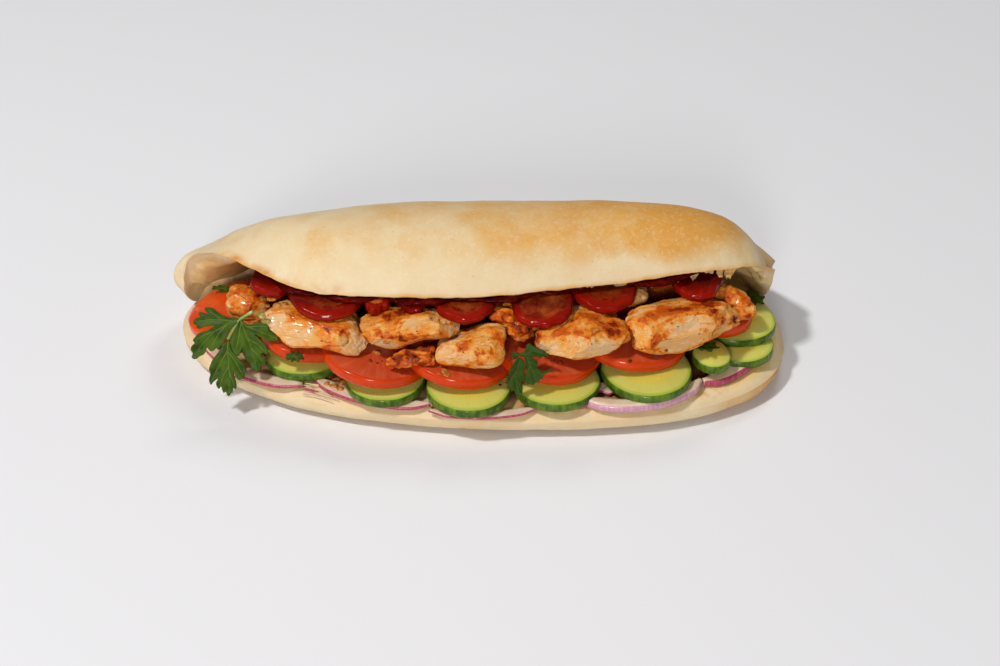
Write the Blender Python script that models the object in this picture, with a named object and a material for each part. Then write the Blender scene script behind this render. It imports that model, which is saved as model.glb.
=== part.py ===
"""A long oval flatbread, slit along its front and folded open, filled with red onion, cucumber,
tomato, grilled chicken and parsley. Metres, +Z up, X along the loaf, the open side towards -Y."""

from math import atan2, cos, degrees, pi, radians, sin, sqrt

import bmesh
import bpy
from mathutils import Matrix, Vector, noise
from mathutils.bvhtree import BVHTree
from mathutils.geometry import intersect_point_line

MM = 0.001
WELD = 0.01 * MM

# The loaf: its plan is an oval, a little blunter and lower on the right.
HALF_LENGTH = 135 * MM
HALF_WIDTH = 72 * MM
LEFT_POWER, RIGHT_POWER = 2.0, 2.5
SKEW = 0.04
BREAD = 12 * MM
BELLY = 2.5 * MM
RIM_ROUND = 14 * MM
FILLET = 9 * MM
# Where the slit ends at the two sides of the back, and the corners of its front, in degrees.
HINGE_LEFT, HINGE_RIGHT = 166, 24
FRONT_LEFT, FRONT_RIGHT = 222, 315
COLUMNS, LOWER_ROWS, UPPER_ROWS = 32, 14, 16
RELAX = 0.4
# The top half's arch: where its chord is taken, and how far its top leans towards the lip.
ARCH_CREST, ARCH_SKEW = 0.6, 1.3
# The hinge fades out towards both sides of the loaf, and the rear rim rises to the tips beyond it.
HINGE_FADE, TIP_SHARE, TIP_RISE, TIP_SETTLE = 2.6, 0.93, 4, 3
EASE = 0.75
# Where the crust of the top half was torn, its crumb hangs ragged under the lip.
TORN_FROM, TORN_DEPTH, TORN_REACH, TORN_SIZE = 45 * MM, 4 * MM, 12 * MM, 7 * MM
# The top half: the height of its crust over the middle, how far it drops to each end, and how sharply.
CROWN = 70.5 * MM
LEFT_TIP, RIGHT_TIP = -134.5 * MM, 132 * MM
LEFT_DROP, LEFT_DROP_POWER = 0.45, 3.2
RIGHT_DROP, RIGHT_DROP_POWER = 0.44, 7
# The lip of the top half from the left tip to the right tip: x, y and height of its cut edge in mm.
LIP = (
    (-134.5, 10, 27),
    (-130.5, 7, 40),
    (-121, 0, 48),
    (-110, -8, 50.5),
    (-96, -20, 51),
    (-80, -32, 50.5),
    (-62, -38, 50),
    (0, -39.5, 50),
    (60, -31, 51.5),
    (98, -23, 53),
    (122, -11, 48),
    (132, 8, 35),
)

# The layers, from the bread up: lower face and thickness, in mm.
ONION_BASE = 12.5
CUCUMBER_BASE, CUCUMBER = 14.5, 4.7
TOMATO_MIDDLE, TOMATO, TOMATO_TILT = 25.6, 4.8, 8.5
SLICE_SIDES, SLICE_WEAR, SLICE_WAVE = 22, 1.1 * MM, 0.6 * MM

# Onion strips lie as arcs: centre x, y, outer radius, first and last angle, width, height.
ARC_STEP, ARC_SWELL = 9, 0.25
ONIONS = (
    (-88, -8, 36.5, -160, -131, 5, 1.8),
    (-66, 14, 70, -130, -99, 6, 1.8),
    (-28, -12, 57, -140, -83, 4, 1.8),
    (0, -18, 57.5, -110, -66, 3.2, 1.2),
    (45, -10, 59.5, -115, -93, 4.5, 1.8),
    (60, -27, 43.5, -104, -36, 4.5, 3.9),
    (80, -10, 47, -63, -30, 7, 1.8),
    (58, -49, 10, -165, -100, 5, 1.5),
)
# Cucumber slices: centre x, y, half width, half depth, lift, in mm.
CUCUMBERS = (
    (-75, -33.5, 17.5, 17.5, 0),
    (-40, -51, 17.2, 19, 0),
    (-4.5, -58, 17.8, 19.5, 0),
    (32.5, -54, 18.7, 19.5, 0),
    (71, -48.5, 19, 21.5, 2.1),
    (99, -42, 8, 11, 5),
    (112.5, -25.5, 15.5, 16.5, 0),
    (112, -15.5, 18, 17.5, 5),
)
# Tomato slices: centre x, y, radius and extra lift in mm, tilt to the side and to the front in degrees.
TOMATOES = (
    (-110.5, -9, 19.5, -1.6, -17, 0),
    (-74.5, -28, 21, -0.5, TOMATO_TILT, 0),
    (-43.5, -44.5, 23.5, 0, TOMATO_TILT, 0),
    (-9, -45.5, 23.5, 0, TOMATO_TILT, 0),
    (28, -42, 23.5, 0, TOMATO_TILT, 0),
    (64, -34, 25, 1.7, TOMATO_TILT, 0),
    (105, -20, 13.5, 2.1, 0, 0),
)
# Slices in sauce under the lip: centre x, y, z, half width, half depth, side and front tilt.
UPPER_TOMATO = 3.2
UPPER_TOMATOES = (
    (-88, -22, 47.6, 9.5, 11, -4, 5),
    (-64.5, -34, 46.8, 15.5, 16, 0, 7),
    (-43, -39, 47, 5.5, 6, 0, 8),
    (-29, -31, 46.8, 8.5, 11.5, 0, 8),
    (-6.5, -37, 46.4, 13.5, 14, 0, 7),
    (12.5, -21, 51.3, 10.5, 11, 0, 7),
    (26, -39.5, 46, 13.2, 13.8, 0, 9),
    (53.2, -28, 47, 13.8, 14.5, 0, 8),
    (78.8, -17.5, 50.8, 10, 11, 0, 6),
    (92.5, -23, 46.7, 10.5, 11.5, 0, 6),
)
# A lump of chicken: its bumps, how square it is, and the gap it keeps to its neighbours.
LUMP_SIDES, LUMP_RINGS, SEED_STEP = 14, 12, 3.7
LUMP_SIZE, LUMP_DEPTH, LUMP_SQUARED = 14 * MM, 2.2 * MM, 0.8
LUMP_GAP, DRAW_SHARE, MOST_DRAWS = 0.4 * MM, 0.06, 60
# Chicken: centre x, y, z, half length, depth and height, turn left and lift of the right end in
# degrees, seed. Each one gives way to those before it.
CHICKEN = (
    (-29, -45, 40.5, 21, 13, 7, 4, 8, 4),
    (-2, -53.5, 35.5, 17, 13, 6.5, 8, 6, 6),
    (-66.5, -41, 36, 24.5, 16, 8.5, -17, -5, 3),
    (-100, -21.5, 37.5, 9.5, 9, 6.5, -5, 0, 1),
    (-98, -32, 31.5, 5, 3.5, 3.2, 10, 0, 2),
    (-26, -58.5, 32.5, 10.5, 7, 4, -8, 0, 5),
    (43, -46, 36.5, 20.5, 18, 8.5, 10, 0, 8),
    (17, -41, 39, 12, 11, 7, 0, 0, 7),
    (84, -39.5, 37, 27, 14.5, 9.5, 22, 0, 9),
    (106.5, -24, 34, 10.5, 12, 9, 40, 0, 10),
    (65, -24, 41, 7, 7, 5, 0, 0, 11),
)
# The chicken that runs back through the loaf behind them: centre and half sizes.
BED = (0, 16, 29.5, 96, 30, 15)

# Parsley. A leaf's outline is a rosette of lobes round its base, drawn as the angle, length and half
# angle of each. The leaves hang facing up and forward: base x, y, z, turn about the upright and lean
# back in degrees.
LEAF_THICK, LEAF_WAVE = 0.6 * MM, 1.2 * MM
LEAF_HEART, LOBE_POINT = 4.5, 0.8
LEAF_WAVE_SIZE = 9 * MM
BIG_LEAF = (
    (38, 12, 9), (162, 16, 18), (178, 19.5, 16), (198, 22, 14), (216, 26, 15), (231, 22, 13),
    (245, 29, 13), (261, 31.5, 13), (277, 26, 12), (292, 22.5, 13), (313, 20, 16), (338, 19, 15),
    (357, 15, 15),
)
SPRIG = ((-5, 10, 18), (-42, 13, 20), (-80, 9, 16), (-104, 20, 14), (-128, 12, 14), (150, 6, 30))
SCRAP = ((0, 8, 25), (70, 4, 30), (140, 7, 24), (215, 6, 26), (290, 4, 24))
LEAVES = (
    ("parsley_1", BIG_LEAF, 1, (-103.3, -41, 38), 0, 56.5, 84),
    ("parsley_2", SPRIG, 1, (19, -64.5, 35.5), 0, 60, 36),
    ("parsley_3", SCRAP, 1.3, (94, -49, 26.2), 5, 15, 20),
    ("parsley_4", SCRAP, 1, (120.5, 2, 26.5), 20, 15, 20),
    ("parsley_5", SCRAP, 0.7, (-115, 2, 28), 0, -10, 16),
    ("parsley_6", SCRAP, 0.5, (-78, -49.5, 26.5), 0, 50, 14),
)


def clamp(value, low=0.0, high=1.0):
    return max(low, min(high, value))


def smooth_step(value):
    value = clamp(value)
    return value * value * (3 - 2 * value)


def mix(a, b, share):
    return a + (b - a) * share


def material(name, colour, roughness):
    made = bpy.data.materials.new(name)
    made.use_nodes = True
    shader = made.node_tree.nodes["Principled BSDF"]
    shader.inputs["Base Color"].default_value = (*colour, 1)
    shader.inputs["Roughness"].default_value = roughness
    shader.inputs["Metallic"].default_value = 0
    return made


def finish(name, shape, look, smooth=True):
    """Makes an object of a bmesh, and returns it."""
    mesh = bpy.data.meshes.new(name)
    shape.to_mesh(mesh)
    shape.free()
    mesh.polygons.foreach_set("use_smooth", [smooth] * len(mesh.polygons))
    piece = bpy.data.objects.new(name, mesh)
    piece.data.materials.append(look)
    bpy.data.collections["flatbread_sandwich"].objects.link(piece)
    return piece


def surface_of(piece):
    """The object's surface, for finding what lies near a point. Every mesh is placed in world space."""
    mesh = piece.data
    corners = [vertex.co for vertex in mesh.vertices]
    return BVHTree.FromPolygons(corners, [tuple(face.vertices) for face in mesh.polygons])


# ---- the bread


def outline_power(x):
    return LEFT_POWER if x < 0 else RIGHT_POWER


def outline(degrees):
    """The loaf's oval plan at an angle from +X."""
    angle = radians(degrees)
    power = 2 / outline_power(cos(angle))
    x = HALF_LENGTH * abs(cos(angle)) ** power * (1 if cos(angle) > 0 else -1)
    y = HALF_WIDTH * abs(sin(angle)) ** power * (1 if sin(angle) > 0 else -1)
    return Vector((x, y - SKEW * x))


def plan_patch(across, back):
    """A point of the oval, from its left to its right side and from its slit front to its hinged back."""
    front_edge = outline(mix(FRONT_LEFT, FRONT_RIGHT, across))
    back_edge = outline(mix(HINGE_LEFT, HINGE_RIGHT, across))
    left_edge = outline(mix(FRONT_LEFT, HINGE_LEFT, back))
    right_edge = outline(mix(FRONT_RIGHT, HINGE_RIGHT + 360, back))
    corners = mix(
        mix(outline(FRONT_LEFT), outline(FRONT_RIGHT), across),
        mix(outline(HINGE_LEFT), outline(HINGE_RIGHT), across),
        back,
    )
    return mix(front_edge, back_edge, back) + mix(left_edge, right_edge, across) - corners


def edge_y(x, side):
    """The oval's front (-1) or back (1) edge at a station."""
    power = outline_power(x)
    reach = 1 - clamp(abs(x) / HALF_LENGTH) ** power
    return side * HALF_WIDTH * reach ** (1 / power) - SKEW * x


def lip_at(x):
    """y and z of the top half's cut edge, on a smooth curve through the lip's stations."""
    stations = [Vector(station) * MM for station in LIP]
    last = len(stations) - 2
    i = next((k for k in range(last) if x < stations[k + 1].x), last)
    before = stations[max(i - 1, 0)]
    start, end = stations[i], stations[i + 1]
    after = stations[min(i + 2, len(stations) - 1)]
    t = clamp((x - start.x) / (end.x - start.x))
    leave = (end - before) * ((end.x - start.x) / (end.x - before.x))
    arrive = (after - start) * ((end.x - start.x) / (after.x - start.x))
    point = (
        start * (2 * t**3 - 3 * t**2 + 1)
        + leave * (t**3 - 2 * t**2 + t)
        + end * (3 * t**2 - 2 * t**3)
        + arrive * (t**3 - t**2)
    )
    return point.y, point.z


def crown_at(x):
    """The height of the top crust over the loaf's middle line."""
    if x < 0:
        return CROWN * (1 - LEFT_DROP * clamp(x / LEFT_TIP) ** LEFT_DROP_POWER)
    return CROWN * (1 - RIGHT_DROP * clamp(x / RIGHT_TIP) ** RIGHT_DROP_POWER)


def hinge_window(across):
    """1 where the two halves are one loaf, falling to 0 where the slit starts."""
    return clamp(HINGE_FADE * sin(pi * clamp(across)))


def lower_face(across, back):
    """The cut face of the bottom half. Its back curls up into the hinge."""
    flat = plan_patch(across, back)
    window = hinge_window(across)
    y = flat.y - BREAD * window * back
    crease = edge_y(flat.x, 1) - BREAD * window
    near = clamp(1 - (crease - y) / FILLET)
    curl = FILLET * window * (1 - sqrt(1 - near**2)) if back > 0.5 else 0
    return Vector((flat.x, y, BREAD + curl))


def upper_face(across, forward):
    """The cut face of the top half, from the hinge (0) to its lip (1)."""
    flat = plan_patch(across, 1 - forward)
    window = hinge_window(across)
    back_edge, front_edge = edge_y(flat.x, 1), edge_y(flat.x, -1)
    span = max(back_edge - front_edge, 1e-6)
    share = clamp((back_edge - flat.y) / span)
    tip = RIGHT_TIP if flat.x > 0 else LEFT_TIP
    x = flat.x * mix(1, abs(tip) / HALF_LENGTH, smooth_step(TIP_SETTLE * forward))
    lip_y, lip_z = lip_at(x)
    crease_y = back_edge - BREAD * window
    crease_z = BREAD + FILLET * window
    # Beyond the hinge's ends, the rear rim of the top half rises to its tip.
    free = smooth_step((abs(flat.x) / HALF_LENGTH - TIP_SHARE) / (1 - TIP_SHARE))
    free *= smooth_step(TIP_RISE * forward)
    crease_y, crease_z = mix(crease_y, lip_y, free), mix(crease_z, lip_z, free)
    arch = crown_at(x) - BREAD - mix(crease_z, lip_z, ARCH_CREST)
    bulge = sin(pi * share**ARCH_SKEW) if 0 < share < 1 else 0
    z = mix(crease_z, lip_z, share) + max(arch, 0) * bulge
    return Vector((x, mix(crease_y, lip_y, share), z))


def eased(share):
    """Rows lie closer together towards both ends."""
    return mix(share, (1 - cos(pi * share)) / 2, EASE)


def nearest_rim_point(point, rim):
    """The point of the cut's rim nearest to this one."""
    found = []
    for start, end in rim:
        _, share = intersect_point_line(point, start, end)
        found.append(start.lerp(end, clamp(share)))
    return min(found, key=lambda near: (near - point).length_squared)


def bread():
    """Both halves as one folded sheet: the cut faces, then the crust a bread's thickness outside them."""
    shape = bmesh.new()
    rows = LOWER_ROWS + UPPER_ROWS
    bmesh.ops.create_grid(shape, x_segments=COLUMNS, y_segments=rows, size=1)
    for vertex in shape.verts:
        across = eased((vertex.co.x + 1) / 2)
        row = round((vertex.co.y + 1) / 2 * rows)
        if row <= LOWER_ROWS:
            vertex.co = lower_face(across, eased(row / LOWER_ROWS))
        else:
            vertex.co = upper_face(across, eased((row - LOWER_ROWS) / UPPER_ROWS))
    shape.normal_update()
    rim = [[vertex.co.copy() for vertex in item.verts] for item in shape.edges if item.is_boundary]
    copied = bmesh.ops.duplicate(shape, geom=list(shape.verts) + list(shape.edges) + list(shape.faces))
    crust = [item for item in copied["geom"] if isinstance(item, bmesh.types.BMVert)]
    crust_faces = [item for item in copied["geom"] if isinstance(item, bmesh.types.BMFace)]
    inner = [vertex for vertex in crust if not vertex.is_boundary]
    for vertex in set(shape.verts) - set(crust):
        if vertex.co.z > CROWN / 2:
            reach = (nearest_rim_point(vertex.co, rim) - vertex.co).length / TORN_REACH
            ragged = clamp(noise.noise(vertex.co / TORN_SIZE) + 0.5) * sin(pi * clamp(reach))
            vertex.co.z -= TORN_DEPTH * ragged * smooth_step((vertex.co.x - TORN_FROM) / TORN_FROM)
    for vertex in inner:
        near = nearest_rim_point(vertex.co, rim)
        outward = near - vertex.co
        depth = 1 - clamp(outward.length / RIM_ROUND)
        vertex.co -= vertex.normal * BREAD * sqrt(1 - depth**2)
        if near.z < CROWN / 2:
            vertex.co += outward.normalized() * BELLY * sin(pi * depth**2)
    bmesh.ops.smooth_vert(
        shape, verts=inner, factor=RELAX, use_axis_x=True, use_axis_y=True, use_axis_z=True
    )
    bmesh.ops.reverse_faces(shape, faces=crust_faces)
    bmesh.ops.remove_doubles(shape, verts=shape.verts, dist=WELD)
    for vertex in shape.verts:
        vertex.co.z = max(vertex.co.z, 0)
    bmesh.ops.recalc_face_normals(shape, faces=shape.faces)
    return finish("bread", shape, material("baked_bread", (0.80, 0.62, 0.36), 0.6))


# ---- the filling


def slab(name, centre, half, look, side=0, front=0):
    """A slice: a low drum with worn edges, a little out of round, tipped and set in place."""
    shape = bmesh.new()
    bmesh.ops.create_cone(
        shape, cap_ends=True, segments=SLICE_SIDES, radius1=1, radius2=1, depth=2 * half.z
    )
    rims = [item for item in shape.edges if item.verts[0].co.z * item.verts[1].co.z > 0]
    for vertex in shape.verts:
        spot = Vector((vertex.co.x, vertex.co.y, 0)) + centre / MM
        out = 1 + SLICE_WAVE / half.x * noise.noise(spot)
        vertex.co.x *= half.x * out
        vertex.co.y *= half.y * out
    bmesh.ops.bevel(
        shape, geom=rims, offset=SLICE_WEAR, segments=1, affect="EDGES", profile=0.5, material=-1
    )
    turn = Matrix.Rotation(radians(side), 3, "Y") @ Matrix.Rotation(radians(front), 3, "X")
    bmesh.ops.rotate(shape, verts=shape.verts, matrix=turn)
    bmesh.ops.translate(shape, verts=shape.verts, vec=centre)
    return finish(name, shape, look)


def arc_strip(name, centre, arc, look):
    """A thin curved strip: its end face spun round the ring's centre."""
    radius, first, last, width, height = arc
    shape = bmesh.new()
    start = Vector((cos(radians(first)), sin(radians(first)), 0))
    profile = (
        (radius - width, 0),
        (radius, 0),
        (radius + ARC_SWELL * height, height / 2),
        (radius, height),
        (radius - width, height),
    )
    corners = [shape.verts.new(start * reach * MM + Vector((0, 0, z * MM))) for reach, z in profile]
    end_face = shape.faces.new(corners)
    bmesh.ops.spin(
        shape,
        geom=[end_face],
        cent=(0, 0, 0),
        axis=(0, 0, 1),
        angle=radians(last - first),
        steps=max(3, round((last - first) / ARC_STEP)),
        use_duplicate=False,
    )
    bmesh.ops.recalc_face_normals(shape, faces=shape.faces)
    bmesh.ops.translate(shape, verts=shape.verts, vec=centre)
    return finish(name, shape, look)


def draw_in(shape, roots, in_the_way):
    """Takes every face that meets a neighbour towards the piece's spine, a little at a time."""
    faces = [[vertex.index for vertex in face.verts] for face in shape.faces]
    for _ in range(MOST_DRAWS):
        grown = [
            vertex.co + (vertex.co - root).normalized() * LUMP_GAP
            for vertex, root in zip(shape.verts, roots)
        ]
        skin = BVHTree.FromPolygons(grown, faces)
        caught = {
            i for surface in in_the_way for face, _ in skin.overlap(surface) for i in faces[face]
        }
        if not caught:
            return
        for i in caught:
            vertex = shape.verts[i]
            vertex.co = vertex.co.lerp(roots[i], DRAW_SHARE)


def lump(name, place, half, seed, look, in_the_way):
    """A piece of chicken: a bumpy bolster, drawn in towards its spine wherever a neighbour is in the way."""
    shape = bmesh.new()
    bmesh.ops.create_uvsphere(shape, u_segments=LUMP_SIDES, v_segments=LUMP_RINGS, radius=1)
    spine = clamp(1 - half.y / half.x, 0, 0.8) * half.x
    roots = []
    for vertex in shape.verts:
        # The sphere's poles are turned to the ends of the piece, and its sides are squared a little.
        point = Vector((vertex.co.z, vertex.co.x, vertex.co.y))
        point = Vector([abs(part) ** LUMP_SQUARED * (1 if part > 0 else -1) for part in point])
        at = point * half
        bumps = noise.fractal(at / LUMP_SIZE + Vector((seed, 0, 0)) * SEED_STEP, 0.6, 2.0, 2)
        at *= 1 + LUMP_DEPTH * bumps / min(half)
        root = place @ Vector((clamp(at.x, -spine, spine), 0, 0))
        way = place @ at - root
        reach = way.length
        way.normalize()
        for surface in in_the_way:
            _, _, _, distance = surface.ray_cast(root, way, reach + LUMP_GAP)
            if distance is not None:
                reach = min(reach, distance - LUMP_GAP)
        vertex.co = root + way * max(reach, 0)
        roots.append(root)
    shape.verts.ensure_lookup_table()
    shape.verts.index_update()
    draw_in(shape, roots, in_the_way)
    return finish(name, shape, look)


def filling():
    onion = material("red_onion", (0.74, 0.50, 0.60), 0.35)
    cucumber = material("cucumber", (0.42, 0.52, 0.12), 0.35)
    tomato = material("tomato", (0.62, 0.06, 0.02), 0.3)
    for i, (x, y, *arc) in enumerate(ONIONS, 1):
        arc_strip(f"onion_{i}", Vector((x, y, ONION_BASE)) * MM, arc, onion)
    for i, (x, y, half_x, half_y, lift) in enumerate(CUCUMBERS, 1):
        centre = Vector((x, y, CUCUMBER_BASE + CUCUMBER / 2 + lift)) * MM
        slab(f"cucumber_{i}", centre, Vector((half_x, half_y, CUCUMBER / 2)) * MM, cucumber)
    for i, (x, y, radius, lift, side, front) in enumerate(TOMATOES, 1):
        centre = Vector((x, y, TOMATO_MIDDLE + lift)) * MM
        half = Vector((radius, radius, TOMATO / 2)) * MM
        slab(f"tomato_{i}", centre, half, tomato, side, front)
    for i, (x, y, z, half_x, half_y, side, front) in enumerate(UPPER_TOMATOES, 1):
        half = Vector((half_x, half_y, UPPER_TOMATO / 2)) * MM
        slab(f"upper_tomato_{i}", Vector((x, y, z)) * MM, half, tomato, side, front)
    chicken = material("grilled_chicken", (0.72, 0.42, 0.20), 0.45)
    parts = bpy.data.collections["flatbread_sandwich"]
    in_the_way = [surface_of(piece) for piece in parts.objects]
    for i, (x, y, z, *half, turn, lift, seed) in enumerate(CHICKEN, 1):
        place = Matrix.Translation(Vector((x, y, z)) * MM)
        place @= Matrix.Rotation(radians(turn), 4, "Z") @ Matrix.Rotation(radians(-lift), 4, "Y")
        made = lump(f"chicken_{i}", place, Vector(half) * MM, seed, chicken, in_the_way)
        in_the_way.append(surface_of(made))
    x, y, z, *half = BED
    place = Matrix.Translation(Vector((x, y, z)) * MM)
    lump("chicken_bed", place, Vector(half) * MM, 20, chicken, in_the_way)


def leaf(name, lobes, size, base, turn, lean, points, look):
    """A thin wavy leaf of triangles: a rosette outline round its base, given its thickness by Solidify."""
    shape = bmesh.new()
    bmesh.ops.create_circle(shape, cap_ends=True, cap_tris=True, segments=points, radius=1)
    spokes = [item for item in shape.edges if not item.is_boundary]
    bmesh.ops.subdivide_edges(shape, edges=spokes, cuts=1)
    bmesh.ops.triangulate(shape, faces=shape.faces)
    place = Matrix.Translation(Vector(base) * MM)
    place @= Matrix.Rotation(radians(turn), 4, "Z") @ Matrix.Rotation(radians(lean), 4, "X")
    for vertex in shape.verts:
        share = vertex.co.length
        angle = degrees(atan2(vertex.co.y, vertex.co.x))
        reach = LEAF_HEART
        for middle, length, half in lobes:
            off = abs((angle - middle + 180) % 360 - 180) / half
            if off < 1:
                reach = max(reach, mix(LEAF_HEART, length, (1 - off) ** LOBE_POINT))
        flat = vertex.co.normalized() * reach * share * size * MM if share > 0 else Vector()
        wave = noise.noise(flat / LEAF_WAVE_SIZE + Vector((points, 0, 0))) * LEAF_WAVE
        vertex.co = place @ (flat + Vector((0, 0, wave)))
    bmesh.ops.solidify(shape, geom=shape.faces, thickness=LEAF_THICK)
    bmesh.ops.recalc_face_normals(shape, faces=shape.faces)
    return finish(name, shape, look)


def garnish():
    green = material("parsley", (0.04, 0.15, 0.03), 0.5)
    for name, lobes, size, base, turn, lean, points in LEAVES:
        leaf(name, lobes, size, base, turn, lean, points, green)


def main():
    for item in list(bpy.data.objects):
        bpy.data.objects.remove(item, do_unlink=True)
    parts = bpy.data.collections.new("flatbread_sandwich")
    bpy.context.scene.collection.children.link(parts)
    bread()
    garnish()
    filling()


main()
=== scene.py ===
from math import atan2, cos, degrees, exp, pi, radians, sin, sqrt

import bmesh
import bpy
from mathutils import Matrix, Vector, noise
from mathutils.kdtree import KDTree


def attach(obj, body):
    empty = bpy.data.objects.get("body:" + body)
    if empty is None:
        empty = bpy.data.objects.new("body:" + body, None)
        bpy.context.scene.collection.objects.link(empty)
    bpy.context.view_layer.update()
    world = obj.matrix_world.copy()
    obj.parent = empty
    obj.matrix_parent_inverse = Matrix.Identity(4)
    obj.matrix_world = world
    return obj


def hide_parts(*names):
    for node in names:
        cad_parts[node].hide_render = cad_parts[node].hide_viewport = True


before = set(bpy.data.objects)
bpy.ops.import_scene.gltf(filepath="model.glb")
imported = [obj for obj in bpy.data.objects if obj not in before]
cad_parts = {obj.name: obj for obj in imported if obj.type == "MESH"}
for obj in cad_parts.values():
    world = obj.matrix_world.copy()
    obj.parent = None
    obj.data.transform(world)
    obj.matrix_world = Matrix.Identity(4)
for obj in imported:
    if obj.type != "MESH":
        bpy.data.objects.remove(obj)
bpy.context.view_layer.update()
mm = 0.001


# small helpers for shapes


def clamp(value, low=0.0, high=1.0):
    return max(low, min(high, value))


def smoothStep(value):
    value = clamp(value)
    return value * value * (3 - 2 * value)


def rise(value, start, end):
    # 0 at start, 1 at end, smooth between; it falls where start is the greater
    return smoothStep((value - start) / (end - start))


def bell(distance, reach):
    # 1 in the middle, fading away beyond its reach
    return exp(-((distance / reach) ** 2))


def mix(a, b, share):
    return a + (b - a) * share


def noisePlace(point, size, seed):
    return Vector(point) / size + Vector((seed, seed * 0.7, -seed)) * 3.1


def sway(point, size, seed=0.0):
    return noise.noise(noisePlace(point, size, seed))


def swaySum(point, *waves):
    # noise of several sizes together; each wave has its strength, size and seed
    return sum(strength * sway(point, size, seed) for strength, size, seed in waves)


def ridged(point, size, seed=0.0):
    return 1 - 2 * abs(sway(point, size, seed))


def cells(point, size, seed=0.0):
    # 0 along the crevices between lumps of this size, 1 inside each lump
    distances = noise.voronoi(noisePlace(point, size, seed))[0]
    return clamp((distances[1] - distances[0]) * 1.8)


def newLayers(shape, *names):
    # values at each vertex, which the materials read as attributes
    return {name: shape.verts.layers.float.new(name) for name in names}


def linked(name, data):
    made = bpy.data.objects.new(name, data)
    bpy.context.scene.collection.objects.link(made)
    return made


def absorb(whole, rough):
    # an object's mesh, with its modifiers, goes into a bmesh and the object is removed
    graph = bpy.context.evaluated_depsgraph_get()
    whole.from_mesh(rough.evaluated_get(graph).to_mesh())
    bpy.data.objects.remove(rough)


def thicken(sheet, thickness):
    # an open sheet becomes a closed shell whose faces point outwards
    sheet.normal_update()
    bmesh.ops.solidify(sheet, geom=sheet.faces, thickness=thickness)
    bmesh.ops.recalc_face_normals(sheet, faces=sheet.faces)


# pieces made so far, which later ones may lie on
finished = []


def finishPiece(name, shape, look, slot, *nodes):
    # a bmesh becomes an object that rides with the sandwich and stands for its CAD nodes
    mesh = bpy.data.meshes.new(name)
    shape.normal_update()
    shape.to_mesh(mesh)
    shape.free()
    mesh.polygons.foreach_set("use_smooth", [True] * len(mesh.polygons))
    mesh.materials.append(look)
    piece = linked(name, mesh)
    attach(piece, "root")
    if nodes:
        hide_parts(*nodes)
    finished.append(piece)


def subdivided(shape, levels):
    # the same form, smoothed and made finer by Subdivision Surface
    mesh = bpy.data.meshes.new("rough")
    shape.to_mesh(mesh)
    shape.free()
    rough = linked("rough", mesh)
    finer = rough.modifiers.new("finer", "SUBSURF")
    finer.levels = finer.render_levels = levels
    fine = bmesh.new()
    absorb(fine, rough)
    bpy.data.meshes.remove(mesh)
    fine.normal_update()
    return fine


def strands(runs, roundness, steps):
    # thin round strands in one mesh: each has its points, its radius and its taper at each point
    whole = bmesh.new()
    for points, radius, tapers in runs:
        line = bpy.data.curves.new("strand", "CURVE")
        line.dimensions, line.bevel_depth, line.bevel_resolution = "3D", radius, roundness
        line.use_fill_caps = True
        spline = line.splines.new("NURBS")
        spline.points.add(len(points) - 1)
        for point, place, taper in zip(spline.points, points, tapers):
            point.co, point.radius = (*place, 1), taper
        spline.use_endpoint_u, spline.order_u, spline.resolution_u = True, min(3, len(points)), steps
        absorb(whole, linked("strand", line))
    bmesh.ops.remove_doubles(whole, verts=whole.verts, dist=0.005 * mm)
    bmesh.ops.recalc_face_normals(whole, faces=whole.faces)
    return whole


# small helpers for materials


def feed(tree, node, inputs):
    # an input, by its name or number, takes a value, a colour or another node's output
    for name, value in inputs.items():
        socket = node.inputs[name]
        if isinstance(value, bpy.types.NodeSocket):
            tree.links.new(value, socket)
        elif socket.type == "RGBA":
            socket.default_value = (*value, 1)
        else:
            socket.default_value = value


def put(tree, kind, inputs, **settings):
    made = tree.nodes.new(kind)
    for name, value in settings.items():
        setattr(made, name, value)
    feed(tree, made, inputs)
    return made


def calc(tree, operation, *values):
    return put(tree, "ShaderNodeMath", dict(enumerate(values)), operation=operation).outputs[0]


def times(tree, a, b):
    return calc(tree, "MULTIPLY", a, b)


def plus(tree, a, b):
    return calc(tree, "ADD", a, b)


def minus(tree, a, b):
    return calc(tree, "SUBTRACT", a, b)


def ramp(tree, value, low, high, start=0.0, end=1.0):
    # value taken from low..high to start..end, smoothly
    made = put(tree, "ShaderNodeMapRange", {"Value": value, "From Min": low, "From Max": high,
               "To Min": start, "To Max": end}, interpolation_type="SMOOTHSTEP")
    return made.outputs[0]


def blend(tree, share, low, high):
    # low where share is 0, high where it is 1; 6 and 7 are the node's two colour inputs
    return put(tree, "ShaderNodeMix", {0: share, 6: low, 7: high}, data_type="RGBA").outputs[2]


def painted(tree, colour, *coats):
    # each coat has a mask, how strong it is there, and its colour
    for shown, strength, paint in coats:
        share = shown if strength == 1 else times(tree, shown, strength)
        colour = blend(tree, share, colour, paint)
    return colour


def cloudy(tree, place, scale, detail, roughness=0.5, distortion=0.0):
    return put(tree, "ShaderNodeTexNoise", {"Vector": place, "Scale": scale, "Detail": detail,
               "Roughness": roughness, "Distortion": distortion}).outputs["Fac"]


def attribute(tree, name, output="Fac"):
    return put(tree, "ShaderNodeAttribute", {}, attribute_name=name).outputs[output]


def newMaterial(name):
    made = bpy.data.materials.new(name)
    made.use_nodes = True
    tree = made.node_tree
    return made, tree, tree.nodes["Principled BSDF"]


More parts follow.
